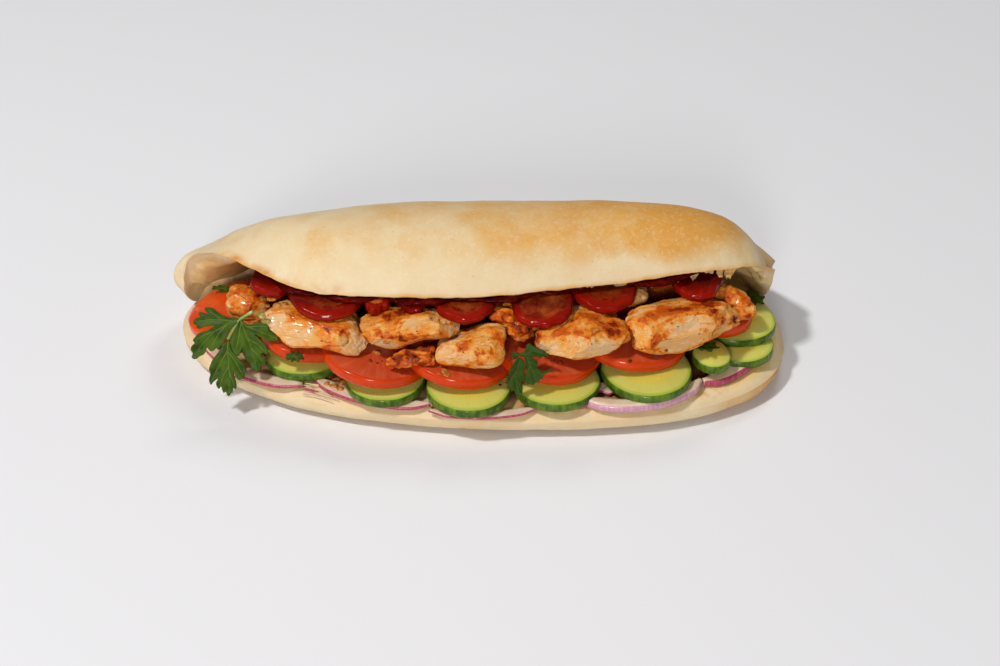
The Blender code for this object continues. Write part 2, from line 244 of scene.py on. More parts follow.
def effectGroup(name, values, result):
    # an empty shader node group that reads Place and these values, and puts out one value
    group = bpy.data.node_groups.new(name, "ShaderNodeTree")
    group.interface.new_socket("Place", in_out="INPUT", socket_type="NodeSocketVector")
    for valueName, value in values.items():
        socket = group.interface.new_socket(valueName, in_out="INPUT", socket_type="NodeSocketFloat")
        socket.default_value = value
    group.interface.new_socket(result, in_out="OUTPUT", socket_type="NodeSocketFloat")
    return group, group.nodes.new("NodeGroupInput").outputs, group.nodes.new("NodeGroupOutput")


def makePatchGroup():
    # soft-edged uneven patches, as browning, oil and seasoning lie on food
    group, given, out = effectGroup("unevenPatches", {"Size": 100.0, "Lean": 0.0, "Edge": 0.1}, "Mask")
    level = plus(group, cloudy(group, given["Place"], given["Size"], 6.0, 0.62), given["Lean"])
    low, high = minus(group, 0.5, given["Edge"]), plus(group, 0.5, given["Edge"])
    feed(group, out, {"Mask": ramp(group, level, low, high)})
    return group


def makeGrainGroup():
    # fine surface grain over a coarser one, for bump
    values = {"Coarse": 300.0, "Fine": 1500.0, "Share": 0.5}
    group, given, out = effectGroup("foodGrain", values, "Height")
    coarse = cloudy(group, given["Place"], given["Coarse"], 3.0)
    fine = cloudy(group, given["Place"], given["Fine"], 2.0)
    # 2 and 3 are the node's two number inputs
    both = put(group, "ShaderNodeMix", {0: given["Share"], 2: coarse, 3: fine}, data_type="FLOAT")
    feed(group, out, {"Height": both.outputs[0]})
    return group


patches = makePatchGroup()
grain = makeGrainGroup()


def patchy(tree, place, size, edge, lean=0.0):
    # a greater size gives smaller patches, and a greater lean more of them
    inputs = {"Place": place, "Size": size, "Edge": edge, "Lean": lean}
    return put(tree, "ShaderNodeGroup", inputs, node_tree=patches).outputs["Mask"]


def grainy(tree, place, coarse, fine, share):
    inputs = {"Place": place, "Coarse": coarse, "Fine": fine, "Share": share}
    return put(tree, "ShaderNodeGroup", inputs, node_tree=grain).outputs["Height"]


def objectPlace(tree, stretch=(1, 1, 1)):
    source = put(tree, "ShaderNodeTexCoord", {}).outputs["Object"]
    return put(tree, "ShaderNodeMapping", {"Vector": source, "Scale": stretch}).outputs[0]


def bumpy(tree, height, strength, distance):
    inputs = {"Height": height, "Strength": strength, "Distance": distance}
    return put(tree, "ShaderNodeBump", inputs).outputs[0]


# camera, floor and light

view = {
    "place": (0.008665, -0.63035, 0.42236), "tilt": 56.543, "lens": 60.0, "film": 36, "nearest": 0.01,
}
lamps = {
    "key": {"place": (-1.0, -0.6, 1.95), "power": 31.0, "size": 0.2, "mirrored": True},
    "fill": {"place": (-0.3, -2.2, 0.85), "power": 25.0, "size": 0.45, "mirrored": True},
    "back": {"place": (0.6, 1.6, 1.9), "power": 13.0, "size": 0.8, "mirrored": False},
}
room = {
    "lampsAim": (0, 0, 0.02), "skyColour": (0.97, 0.98, 1.0), "skyStrength": 0.17,
    "floorColour": (0.80, 0.79, 0.80), "floorRoughness": 0.7, "floorSize": 6.0,
}


def makeStage():
    print("camera, floor and light")
    scene = bpy.context.scene
    optics = bpy.data.cameras.new("viewCamera")
    optics.lens, optics.sensor_width, optics.clip_start = view["lens"], view["film"], view["nearest"]
    camera = linked("viewCamera", optics)
    camera.location = view["place"]
    camera.rotation_euler = (radians(view["tilt"]), 0, 0)
    scene.camera = camera
    for name, lamp in lamps.items():
        glow = bpy.data.lights.new(name + "Light", "AREA")
        glow.energy, glow.size = lamp["power"], lamp["size"]
        placed = linked(name + "Light", glow)
        placed.location = lamp["place"]
        placed.visible_glossy = lamp["mirrored"]
        towards = Vector(room["lampsAim"]) - placed.location
        placed.rotation_euler = towards.to_track_quat("-Z", "Y").to_euler()
    world = bpy.data.worlds.new("studio")
    world.use_nodes = True
    feed(world.node_tree, world.node_tree.nodes["Background"],
         {"Color": room["skyColour"], "Strength": room["skyStrength"]})
    scene.world = world
    scene.view_settings.view_transform = "Standard"
    shape = bmesh.new()
    bmesh.ops.create_grid(shape, x_segments=1, y_segments=1, size=room["floorSize"] / 2)
    mesh = bpy.data.meshes.new("floor")
    shape.to_mesh(mesh)
    shape.free()
    look, tree, shader = newMaterial("paleFloor")
    feed(tree, shader, {"Base Color": room["floorColour"], "Roughness": room["floorRoughness"]})
    mesh.materials.append(look)
    linked("floor", mesh)


# the bread

loaf = {
    # its oval plan, skewed a little
    "halfLength": 135 * mm, "halfWidth": 72 * mm, "leftPower": 2.0, "rightPower": 2.5, "skew": 0.04,
    # angles in degrees from +X between which it is whole at the back and slit at the front
    "hinge": (166, 24), "front": (222, 315), "hingeFade": 2.6,
    # its thickness, the rounding of its lower rim and of the fold inside
    "thick": 12 * mm, "belly": 2.5 * mm, "rimRound": 14 * mm, "rimPower": 2.2, "fillet": 9 * mm,
    "softDrop": 2.6 * mm, "softReach": 7 * mm,
    # the top half's arch and its two tips; a drop has its depth and how late it sets in
    "crown": 70.5 * mm, "archCrest": 0.6, "archSkew": 1.3, "leftTip": -134.5 * mm,
    "rightTip": 132 * mm, "leftDrop": (0.45, 3.2), "rightDrop": (0.44, 7),
    "tipShare": 0.93, "tipRise": 4, "tipSettle": 3,
    # the lip: the rim counts as the lip above these heights; waves, here and below, have their
    # strength, size and seed
    "lipFrom": 30 * mm, "lipFull": 42 * mm, "lipReach": 25 * mm, "lipPower": 1.5,
    "lipWaves": ((0.7 * mm, 10 * mm, 3), (0.42 * mm, 3.5 * mm, 5)), "lipWaveReach": 8 * mm,
    # crumb torn loose under the lip, towards the right
    "tornFrom": 45 * mm, "tornFull": 90 * mm, "tornDepth": 4 * mm, "tornReach": 12 * mm,
    "tornSize": 7 * mm,
    # the mesh, and how it is evened out
    "columns": 160, "lowerRows": 56, "upperRows": 80, "ease": 0.75, "relax": 0.4, "relaxTimes": 24,
}
# the top half's cut edge from its left to its right tip: x, y and height in mm
lipStations = (
    (-134.5, 10, 27), (-130.5, 7, 40), (-121, 0, 48), (-110, -8, 50.5), (-96, -20, 51),
    (-80, -32, 50.5), (-62, -38, 50), (0, -39.5, 50), (60, -31, 51.5), (98, -23, 53),
    (122, -11, 48), (132, 8, 35),
)
crust = {
    "cream": (0.685, 0.525, 0.29), "pale": (0.73, 0.60, 0.385), "golden": (0.66, 0.315, 0.05),
    "light": (0.80, 0.66, 0.44), "brown": (0.56, 0.22, 0.035),
    "lumps": ((0.45 * mm, 16 * mm, 4), (0.12 * mm, 4 * mm, 5)), "lumpFade": 4 * mm,
    # juice stains beside the lip: x, width and distance from the lip in mm, strength
    "tintReach": 1.9, "tints": ((-107, 5, 1.2, 1.0), (-92, 7, 1.0, 1.0), (-84, 4, 2.4, 0.8),
                                (-68, 3, 1.5, 0.8), (-60, 2.5, 2.6, 0.5)),
}
crumb = {
    "cream": (0.84, 0.66, 0.38), "shade": (0.70, 0.45, 0.18), "tip": (0.88, 0.62, 0.24),
    # the web's darker colour is painted shade deeper in the pocket at the left end
    "web": (0.66, 0.465, 0.19), "webShade": (0.41, 0.19, 0.038), "stain": (0.52, 0.24, 0.05),
    # the last colour is painted shade for the hollow under the filling
    "cavityShade": (0.13, 0.022, 0.005),
    "relief": 0.5 * mm, "reliefFade": 7 * mm, "poreSize": 3.5 * mm, "finePoreSize": 2 * mm,
    # the web of dough at the left end, and the ragged crumb at the right end
    "webFill": 5 * mm, "webFrom": -94 * mm, "webFull": -114 * mm, "webFade": 9 * mm,
    "raggedHeight": 1.6 * mm, "raggedFrom": 92 * mm, "raggedFull": 112 * mm,
    # painted shade: the middle of the cut face, well inside the rim, is painted dark, as the hollow under
    # the filling lies in shade
    "cavityShadeFade": 14 * mm, "cavityShadeLeft": -104 * mm, "cavityShadeRight": 112 * mm,
    "cavityShadeFrom": 7 * mm, "cavityShadeFull": 16 * mm,
}


def outlinePower(x):
    return loaf["leftPower"] if x < 0 else loaf["rightPower"]


def outline(turn):
    # the loaf's oval plan at an angle from +X
    angle = radians(turn)
    power = 2 / outlinePower(cos(angle))
    x = loaf["halfLength"] * abs(cos(angle)) ** power * (1 if cos(angle) > 0 else -1)
    y = loaf["halfWidth"] * abs(sin(angle)) ** power * (1 if sin(angle) > 0 else -1)
    return Vector((x, y - loaf["skew"] * x))


def planPatch(across, back):
    # from the left to the right side, and from the slit front to the hinged back
    frontLeft, frontRight = loaf["front"]
    hingeLeft, hingeRight = loaf["hinge"]
    frontEdge = outline(mix(frontLeft, frontRight, across))
    backEdge = outline(mix(hingeLeft, hingeRight, across))
    leftEdge = outline(mix(frontLeft, hingeLeft, back))
    rightEdge = outline(mix(frontRight, hingeRight + 360, back))
    corners = mix(
        mix(outline(frontLeft), outline(frontRight), across),
        mix(outline(hingeLeft), outline(hingeRight), across),
        back,
    )
    return mix(frontEdge, backEdge, back) + mix(leftEdge, rightEdge, across) - corners


def edgeY(x, side):
    power = outlinePower(x)
    reach = 1 - clamp(abs(x) / loaf["halfLength"]) ** power
    return side * loaf["halfWidth"] * reach ** (1 / power) - loaf["skew"] * x


def lipAt(x):
    # y and z of the top half's cut edge, on a smooth curve through its stations
    stations = [Vector(station) * mm for station in lipStations]
    last = len(stations) - 2
    i = next((k for k in range(last) if x < stations[k + 1].x), last)
    before, start, end = stations[max(i - 1, 0)], stations[i], stations[i + 1]
    after = stations[min(i + 2, len(stations) - 1)]
    t = clamp((x - start.x) / (end.x - start.x))
    leave = (end - before) * ((end.x - start.x) / (end.x - before.x))
    arrive = (after - start) * ((end.x - start.x) / (after.x - start.x))
    point = (
        start * (2 * t**3 - 3 * t**2 + 1)
        + leave * (t**3 - 2 * t**2 + t)
        + end * (3 * t**2 - 2 * t**3)
        + arrive * (t**3 - t**2)
    )
    return point.y, point.z


def crownAt(x):
    side = "left" if x < 0 else "right"
    drop, power = loaf[side + "Drop"]
    return loaf["crown"] * (1 - drop * clamp(x / loaf[side + "Tip"]) ** power)


def hingeWindow(across):
    # 1 where the two halves are one loaf, falling to 0 where the slit starts
    return clamp(loaf["hingeFade"] * sin(pi * clamp(across)))


def lowerFace(across, back):
    # the cut face of the lower half, which curls up into the fold at the back
    flat = planPatch(across, back)
    window = hingeWindow(across)
    y = flat.y - loaf["thick"] * window * back
    crease = edgeY(flat.x, 1) - loaf["thick"] * window
    near = clamp(1 - (crease - y) / loaf["fillet"])
    curl = loaf["fillet"] * window * (1 - sqrt(1 - near**2)) if back > 0.5 else 0
    return Vector((flat.x, y, loaf["thick"] + curl))


def upperFace(across, forward):
    # the cut face of the top half, which arches from the fold to the lip
    flat = planPatch(across, 1 - forward)
    window = hingeWindow(across)
    backEdge, frontEdge = edgeY(flat.x, 1), edgeY(flat.x, -1)
    share = clamp((backEdge - flat.y) / max(backEdge - frontEdge, 1e-6))
    tip = loaf["rightTip"] if flat.x > 0 else loaf["leftTip"]
    x = flat.x * mix(1, abs(tip) / loaf["halfLength"], smoothStep(loaf["tipSettle"] * forward))
    lipY, lipZ = lipAt(x)
    creaseY = backEdge - loaf["thick"] * window
    creaseZ = loaf["thick"] + loaf["fillet"] * window
    free = rise(abs(flat.x) / loaf["halfLength"], loaf["tipShare"], 1)
    free *= smoothStep(loaf["tipRise"] * forward)
    creaseY, creaseZ = mix(creaseY, lipY, free), mix(creaseZ, lipZ, free)
    arch = crownAt(x) - loaf["thick"] - mix(creaseZ, lipZ, loaf["archCrest"])
    bulge = sin(pi * share ** loaf["archSkew"]) if 0 < share < 1 else 0
    z = mix(creaseZ, lipZ, share) + max(arch, 0) * bulge
    return Vector((x, mix(creaseY, lipY, share), z))


def eased(share):
    # rows lie closer together near the edges
    return mix(share, (1 - cos(pi * share)) / 2, loaf["ease"])


def rimTree(shape):
    # points along the cut's rim, close enough together to stand for it
    ends = [[vertex.co.copy() for vertex in item.verts] for item in shape.edges if item.is_boundary]
    points = [start.lerp(end, k / 6) for start, end in ends for k in range(6)]
    tree = KDTree(len(points))
    for i, point in enumerate(points):
        tree.insert(point, i)
    tree.balance()
    return tree


def toastAt(point):
    # how browned the crust is: its crown, its right shoulder and the tip, least along the front
    x, y, z = point / mm
    high = rise(z, 52, 69)
    toast = 0.06 + high * (0.26 * rise(x, -120, -30) + 0.52 * rise(x, -40, 110))
    toast += 0.30 * rise(x, 85, 130) + 0.22 * rise(z, 8, 0)
    toast += 0.5 * rise(x, 106, 130) * rise(z, 16, 8) * max(0, 0.3 + sway(point, 14 * mm, 7))
    toast += 0.35 * rise(y, 20, 60) * rise(z, 0, 40)
    return clamp(toast + swaySum(point, (0.22, 28 * mm, 1), (0.10, 9 * mm, 2)))


def makeBread():
    print("bread")
    shape = bmesh.new()
    rows = loaf["lowerRows"] + loaf["upperRows"]
    bmesh.ops.create_grid(shape, x_segments=loaf["columns"], y_segments=rows, size=1)
    for vertex in shape.verts:
        across = eased((vertex.co.x + 1) / 2)
        row = round((vertex.co.y + 1) / 2 * rows)
        if row <= loaf["lowerRows"]:
            vertex.co = lowerFace(across, eased(row / loaf["lowerRows"]))
        else:
            vertex.co = upperFace(across, eased((row - loaf["lowerRows"]) / loaf["upperRows"]))
    shape.normal_update()
    rim = rimTree(shape)
    layers = newLayers(shape, "cut", "rim", "web", "tinted", "cavityShade", "toast")
    # this sheet is the cut face of both halves, and a copy that moves outwards is the crust
    copied = bmesh.ops.duplicate(shape, geom=[*shape.verts, *shape.edges, *shape.faces])["geom"]
    crustVerts = [item for item in copied if isinstance(item, bmesh.types.BMVert)]
    crustFaces = [item for item in copied if isinstance(item, bmesh.types.BMFace)]
    inner = [vertex for vertex in crustVerts if not vertex.is_boundary]
    cutVerts = set(shape.verts) - set(crustVerts)
    thickenLoaf(shape, inner, rim)
    bmesh.ops.reverse_faces(shape, faces=crustFaces)
    shape.normal_update()
    roughenCrust(inner, rim, layers)
    roughenCrumb(cutVerts, rim, layers)
    shapeRim(shape, rim, layers)
    bmesh.ops.remove_doubles(shape, verts=shape.verts, dist=0.01 * mm)
    for vertex in shape.verts:
        vertex.co.z = max(vertex.co.z, 0)
    bmesh.ops.recalc_face_normals(shape, faces=shape.faces)
    finishPiece("flatbread", shape, breadLook(), "bread", "bread")


def thickenLoaf(shape, inner, rim):
    # the lower half has a rounded rim, the top half thins out to a sharp lip
    for vertex in inner:
        near, _, distance = rim.find(vertex.co)
        depth = 1 - clamp(distance / loaf["rimRound"])
        outward = (near - vertex.co).normalized()
        upper = rise(near.z, loaf["lipFrom"], loaf["lipFull"])
        wedge = 1 - (1 - clamp(distance / loaf["lipReach"])) ** loaf["lipPower"]
        full = (1 - depth ** loaf["rimPower"]) ** (1 / loaf["rimPower"])
        vertex.co -= vertex.normal * loaf["thick"] * mix(full, wedge, upper)
        if near.z < loaf["crown"] / 2:
            vertex.co += outward * loaf["belly"] * sin(pi * depth**2)
    for _ in range(loaf["relaxTimes"]):
        bmesh.ops.smooth_vert(shape, verts=inner, factor=loaf["relax"], use_axis_x=True,
                              use_axis_y=True, use_axis_z=True)


def roughenCrust(inner, rim, layers):
    for vertex in inner:
        near, _, distance = rim.find(vertex.co)
        lumps = swaySum(vertex.co, *crust["lumps"])
        vertex.co += vertex.normal * lumps * rise(distance, 0, crust["lumpFade"])
        vertex[layers["rim"]] = distance / mm
        vertex[layers["toast"]] = toastAt(vertex.co)
        if near.z > loaf["lipFrom"]:
            vertex[layers["tinted"]] = max(
                strength * bell(near.x / mm - x, width) * bell(distance / mm - away, crust["tintReach"])
                for x, width, away, strength in crust["tints"]
            )


def roughenCrumb(cutVerts, rim, layers):
    for vertex in cutVerts:
        distance = rim.find(vertex.co)[2]
        vertex[layers["cut"]] = 1
        vertex[layers["rim"]] = distance / mm
        if vertex.is_boundary:
            continue
        x = vertex.co.x
        upper = rise(vertex.co.z, 22 * mm, 28 * mm)
        web = rise(x, crumb["webFrom"], crumb["webFull"]) * upper
        ragged = rise(x, crumb["raggedFrom"], crumb["raggedFull"]) * upper
        # how much of the painted shade under the filling each spot takes: in the middle, well inside the
        # rim
        middle = rise(x, crumb["cavityShadeLeft"], crumb["cavityShadeLeft"] + crumb["cavityShadeFade"])
        middle *= rise(x, crumb["cavityShadeRight"], crumb["cavityShadeRight"] - crumb["cavityShadeFade"])
        vertex[layers["web"]] = web
        vertex[layers["cavityShade"]] = middle * rise(distance, crumb["cavityShadeFrom"], crumb["cavityShadeFull"])
        pores = sway(vertex.co, crumb["poreSize"], 6) + 0.5 * ridged(vertex.co, crumb["finePoreSize"], 7)
        pores *= crumb["relief"] * (1 - 0.3 * web)
        pores += web * crumb["webFill"] * rise(distance, 0, crumb["webFade"])
        shreds = ridged(vertex.co, 5 * mm, 8) + 0.5 * sway(vertex.co, 1.8 * mm, 9)
        pores += ragged * crumb["raggedHeight"] * shreds
        vertex.co += vertex.normal * pores * rise(distance, 0, crumb["reliefFade"])
        if vertex.co.z > loaf["crown"] / 2:
            tear = clamp(sway(vertex.co, loaf["tornSize"]) + 0.5)
            tear *= sin(pi * clamp(distance / loaf["tornReach"]))
            tear *= rise(vertex.co.x, loaf["tornFrom"], loaf["tornFull"])
            vertex.co.z -= loaf["tornDepth"] * tear


def shapeRim(shape, rim, layers):
    for vertex in shape.verts:
        near, _, distance = rim.find(vertex.co)
        if near.z > loaf["lipFrom"]:
            # the lip's edge wavers a little
            waver = swaySum((near.x, 0, 0), *loaf["lipWaves"])
            vertex.co.z += waver * rise(distance, loaf["lipWaveReach"], 0)
        else:
            # the lower half's edge is rounded off
            vertex.co.z -= loaf["softDrop"] * (1 - clamp(distance / loaf["softReach"])) ** 2
        if vertex.is_boundary:
            vertex[layers["cut"]] = 0.5
            vertex[layers["toast"]] = toastAt(vertex.co)


def breadLook():
    look, tree, shader = newMaterial("bakedBread")
    place = objectPlace(tree)
    axes = put(tree, "ShaderNodeSeparateXYZ", {"Vector": place}).outputs
    alongLoaf, height = axes["X"], axes["Z"]
    cut, rim, toast = (attribute(tree, name) for name in ("cut", "rim", "toast"))
    # crust: cream, with golden mottling where it is toasted and pale flecks in that
    wide = patchy(tree, place, 24.0, 0.28, minus(tree, toast, 0.42))
    fine = patchy(tree, place, 150.0, 0.25, times(tree, toast, 0.15))
    golden = times(tree, wide, plus(tree, times(tree, fine, 0.35), 0.6))
    warm = patchy(tree, place, 60.0, 0.12, minus(tree, times(tree, toast, 0.5), 0.34))
    flecks = patchy(tree, place, 560.0, 0.09, -0.1)
    specks = patchy(tree, place, 620.0, 0.05, minus(tree, times(tree, toast, 0.12), 0.2))
    # the baked skin is finely mottled all over, with faint pale veining
    mottle = patchy(tree, place, 95.0, 0.3)
    veining = ramp(tree, cloudy(tree, place, 55.0, 6.0, 0.7, 1.2), 0.47, 0.5)
    veining = times(tree, veining, ramp(tree, veining, 1.0, 0.6))
    # the cut edge caught the heat: a thin golden line, browner here and there
    edge = times(tree, ramp(tree, rim, 2.6, 0.0), ramp(tree, height, 0.02, 0.034, 0.25, 1.0))
    edge = times(tree, edge, ramp(tree, alongLoaf, -0.122, -0.104, 0.15, 1.0))
    edge = times(tree, edge, plus(tree, times(tree, patchy(tree, place, 45.0, 0.12), 0.6), 0.35))
    # juice tinted the crust beside the lip at the left
    tint = ramp(tree, cloudy(tree, place, 130.0, 4.0), 0.38, 0.56)
    tint = times(tree, attribute(tree, "tinted"), tint)
    outside = painted(
        tree, blend(tree, ramp(tree, toast, 0.0, 0.5), crust["pale"], crust["cream"]),
        (golden, 1, crust["golden"]), (warm, 0.30, crust["brown"]), (flecks, 0.32, crust["light"]),
        (specks, 0.45, crust["brown"]), (mottle, 0.26, crust["golden"]),
        (veining, 0.12, crust["light"]), (edge, 1, crust["golden"]), (tint, 0.85, crust["brown"]),
    )
    # cut face: open crumb, darker in its pores, with stains, and painted shade further in, in the hollow
    # under the filling
    pores = ramp(tree, cloudy(tree, place, 260.0, 5.0, 0.6), 0.35, 0.62)
    stain = patchy(tree, place, 42.0, 0.1, -0.04)
    tip = ramp(tree, alongLoaf, 0.098, 0.112, 0.0, 0.75)
    # the web at the left end is smooth dough, painted darker further into the pocket as painted shade
    web = times(tree, attribute(tree, "web"), ramp(tree, rim, 2.0, 11.0, 0.15, 1.0))
    webLitShare = plus(tree, times(tree, patchy(tree, place, 50.0, 0.3), 0.3), 0.7)
    webLitShare = times(tree, ramp(tree, alongLoaf, -0.102, -0.128), webLitShare)
    inside = painted(
        tree, blend(tree, pores, crumb["shade"], crumb["cream"]),
        (stain, 0.55, crumb["stain"]), (attribute(tree, "cavityShade"), 0.9, crumb["cavityShade"]),
        (tip, 1, crumb["tip"]), (web, 1, blend(tree, webLitShare, crumb["webShade"], crumb["web"])),
    )
    isCut = times(tree, ramp(tree, cut, 0.45, 0.75), ramp(tree, rim, 1.0, 6.0))
    rough = ramp(tree, patchy(tree, place, 60.0, 0.3), 0, 1, 0.5, 0.66)
    feed(tree, shader, {
        "Base Color": blend(tree, isCut, outside, inside),
        "Roughness": blend(tree, isCut, rough, (0.9, 0.9, 0.9)), "Specular IOR Level": 0.25,
        "Normal": bumpy(tree, grainy(tree, place, 220.0, 1400.0, 0.35), 0.6, 0.45 * mm),
    })
    return look


# torn crumb that hangs under the lip at the right, in mm: where it is, how deep it hangs and how
# much deeper at the right, how far it stands behind the lip, how far a shred falls before it
# lies forward, and the longer shreds as x, depth and width
torn = {
    "from": 40, "to": 113, "depth": 2.3, "deeper": 4.2, "deeperFrom": 92, "deeperFull": 104,
    "behind": 1.7, "lean": 0.25, "hangs": 3.4,
    "shreds": ((60.5, 7.5, 1.8), (66.5, 2.6, 1.2), (73, 3.2, 1.2), (84, 3.5, 1.5), (91, 2.5, 1.2)),
    "ragged": ((0.6, 7, 2), (0.45, 2.4, 4), (0.2, 1, 5)),
    "columns": 260, "rows": 16, "thick": 1.6 * mm,
}


def makeTornCrumb():
    print("torn crumb")
    shape = bmesh.new()
    bmesh.ops.create_grid(shape, x_segments=torn["columns"], y_segments=torn["rows"], size=1)
    for vertex in shape.verts:
        along, down = (vertex.co.x + 1) / 2, (1 - vertex.co.y) / 2
        x = mix(torn["from"], torn["to"], along)
        y, z = lipAt(x * mm)
        right = rise(x, torn["deeperFrom"], torn["deeperFull"])
        ragged = clamp(0.75 + swaySum((x, 0, 0), *torn["ragged"]), 0.15, 1.3)
        depth = (torn["depth"] + torn["deeper"] * right) * ragged
        depth += max(length * bell(x - at, width) for at, length, width in torn["shreds"])
        depth *= smoothStep(min(along, 1 - along) * 14)
        # a shred hangs down, then lies forward on the slice below it
        fall = min(depth * down, torn["hangs"])
        forward = depth * down - fall
        place = (x, depth * down, 0)
        crumbly = 0.9 * ridged(place, 2.6, 5) + 0.8 * sway(place, 1.1, 6)
        lean = mix(torn["lean"], -torn["lean"], right)
        behind = torn["behind"] + crumbly * down + lean * fall - 0.9 * forward
        vertex.co = Vector((x * mm, y + behind * mm, z + (0.1 - fall - 0.25 * forward) * mm))
    thicken(shape, torn["thick"])
    # it is coloured as crumb 9 mm inside the rim, and partly with the web's painted shade, as it hangs in
    # the lip's shade
    layers = newLayers(shape, "cut", "rim", "web")
    for vertex in shape.verts:
        vertex[layers["cut"]], vertex[layers["rim"]], vertex[layers["web"]] = 1, 9, 0.6
    finishPiece("tornCrumb", shape, bpy.data.materials["bakedBread"], "bread")


# slices of tomato and cucumber

# cucumber slices: centre x, y, half width, half depth and lift in mm
cucumberSlices = (
    (-75, -33.5, 17.5, 17.5, 0), (-40, -51, 17.2, 19, 0), (-4.5, -58, 17.8, 19.5, 0),
    (32.5, -54, 18.7, 19.5, 0), (71, -48.5, 19, 21.5, 2.1), (99, -42, 8, 11, 5),
    (112.5, -25.5, 15.5, 16.5, 0), (112, -15.5, 18, 17.5, 5),
)
# tomato slices: centre x, y, radius and lift in mm, tilt to the side and to the front in degrees
tomatoSlices = (
    (-110.5, -9, 19.5, -1.6, -17, 0), (-74.5, -28, 21, -0.5, 8.5, 0), (-43.5, -44.5, 23.5, 0, 8.5, 0),
    (-9, -45.5, 23.5, 0, 8.5, 0), (28, -42, 23.5, 0, 8.5, 0), (64, -34, 25, 1.7, 8.5, 0),
    (105, -20, 13.5, 2.1, 0, 0),
)
# slices in sauce under the lip: centre x, y, z, half width and half depth in mm, side and front
# tilt in degrees, and how much orange pulp shows
saucedSlices = (
    (-88, -22, 47.6, 9.5, 11, -4, 5, 0.0), (-64.5, -34, 46.8, 15.5, 16, 0, 7, 0.45),
    (-43, -39, 47, 5.5, 6, 0, 8, 0.95), (-29, -31, 46.8, 8.5, 11.5, 0, 8, 0.1),
    (-6.5, -37, 46.4, 13.5, 14, 0, 7, 0.5), (12.5, -21, 51.3, 10.5, 11, 0, 7, 0.1),
    (26, -39.5, 46, 13.2, 13.8, 0, 9, 0.62), (53.2, -28, 47, 13.8, 14.5, 0, 8, 0.4),
    (78.8, -17.5, 50.8, 10, 11, 0, 6, 0.1), (92.5, -23, 46.7, 10.5, 11.5, 0, 6, 0.05),
)
sliceCut = {
    # in mm
    "cucumberBase": 14.5, "cucumberThick": 3.8, "tomatoMiddle": 25.6, "tomatoThick": 4.8,
    "saucedThick": 3.8, "saucedBack": 2.2,
    # the mesh, and how far each outline wanders
    "steps": 112, "rings": 12, "wander": 0.6 * mm,
    # the dent in the smooth end: its place and reach as shares of the slice
    "dent": Vector((0.42, 0.05, 0)), "dentReach": 0.2,
}
# how each kind is cut and how it has softened: how far its rim bulges, how wavy its faces and how
# uneven its outline are, how its front droops and its rim rolls up, and how its middle stands up
sliceForms = {
    "cucumber": {"bulge": 0.004, "waves": 0.12 * mm, "bow": 2.4 * mm},
    "tomato": {"bulge": 0.012, "waves": 0.25 * mm},
    "tomatoEnd": {"bulge": 0.012, "waves": 0.25 * mm, "dome": 2.6 * mm},
    "sauced": {"bulge": 0.05, "waves": 0.7 * mm, "uneven": 3.6, "droop": 1.4 * mm, "roll": 0.4 * mm},
}
tomatoColours = {
    "skin": (0.58, 0.046, 0.002), "deep": (0.46, 0.024, 0.001), "flesh": (0.54, 0.062, 0.016),
    "streak": (0.68, 0.16, 0.070), "jelly": (0.50, 0.058, 0.009), "core": (0.64, 0.19, 0.09),
}
capColours = {**tomatoColours, "skin": (0.72, 0.066, 0.002), "deep": (0.62, 0.036, 0.001)}
# in sauced slices the dark jelly and the darkest colour stand partly for dark sauce and partly for painted
# shade under the lip
saucedColours = {
    "skin": (0.30, 0.0065, 0.0004), "deep": (0.12, 0.002, 0.0002), "streak": (0.66, 0.20, 0.035),
    "jelly": (0.17, 0.004, 0.0004), "core": (0.46, 0.045, 0.004), "under": (0.045, 0.0012, 0.0003),
}
cucumberColours = {
    "skin": (0.030, 0.070, 0.003), "streak": (0.125, 0.215, 0.015), "rim": (0.34, 0.44, 0.050),
    "flesh": (0.60, 0.565, 0.12), "middle": (0.66, 0.54, 0.080), "seed": (0.74, 0.68, 0.24),
}


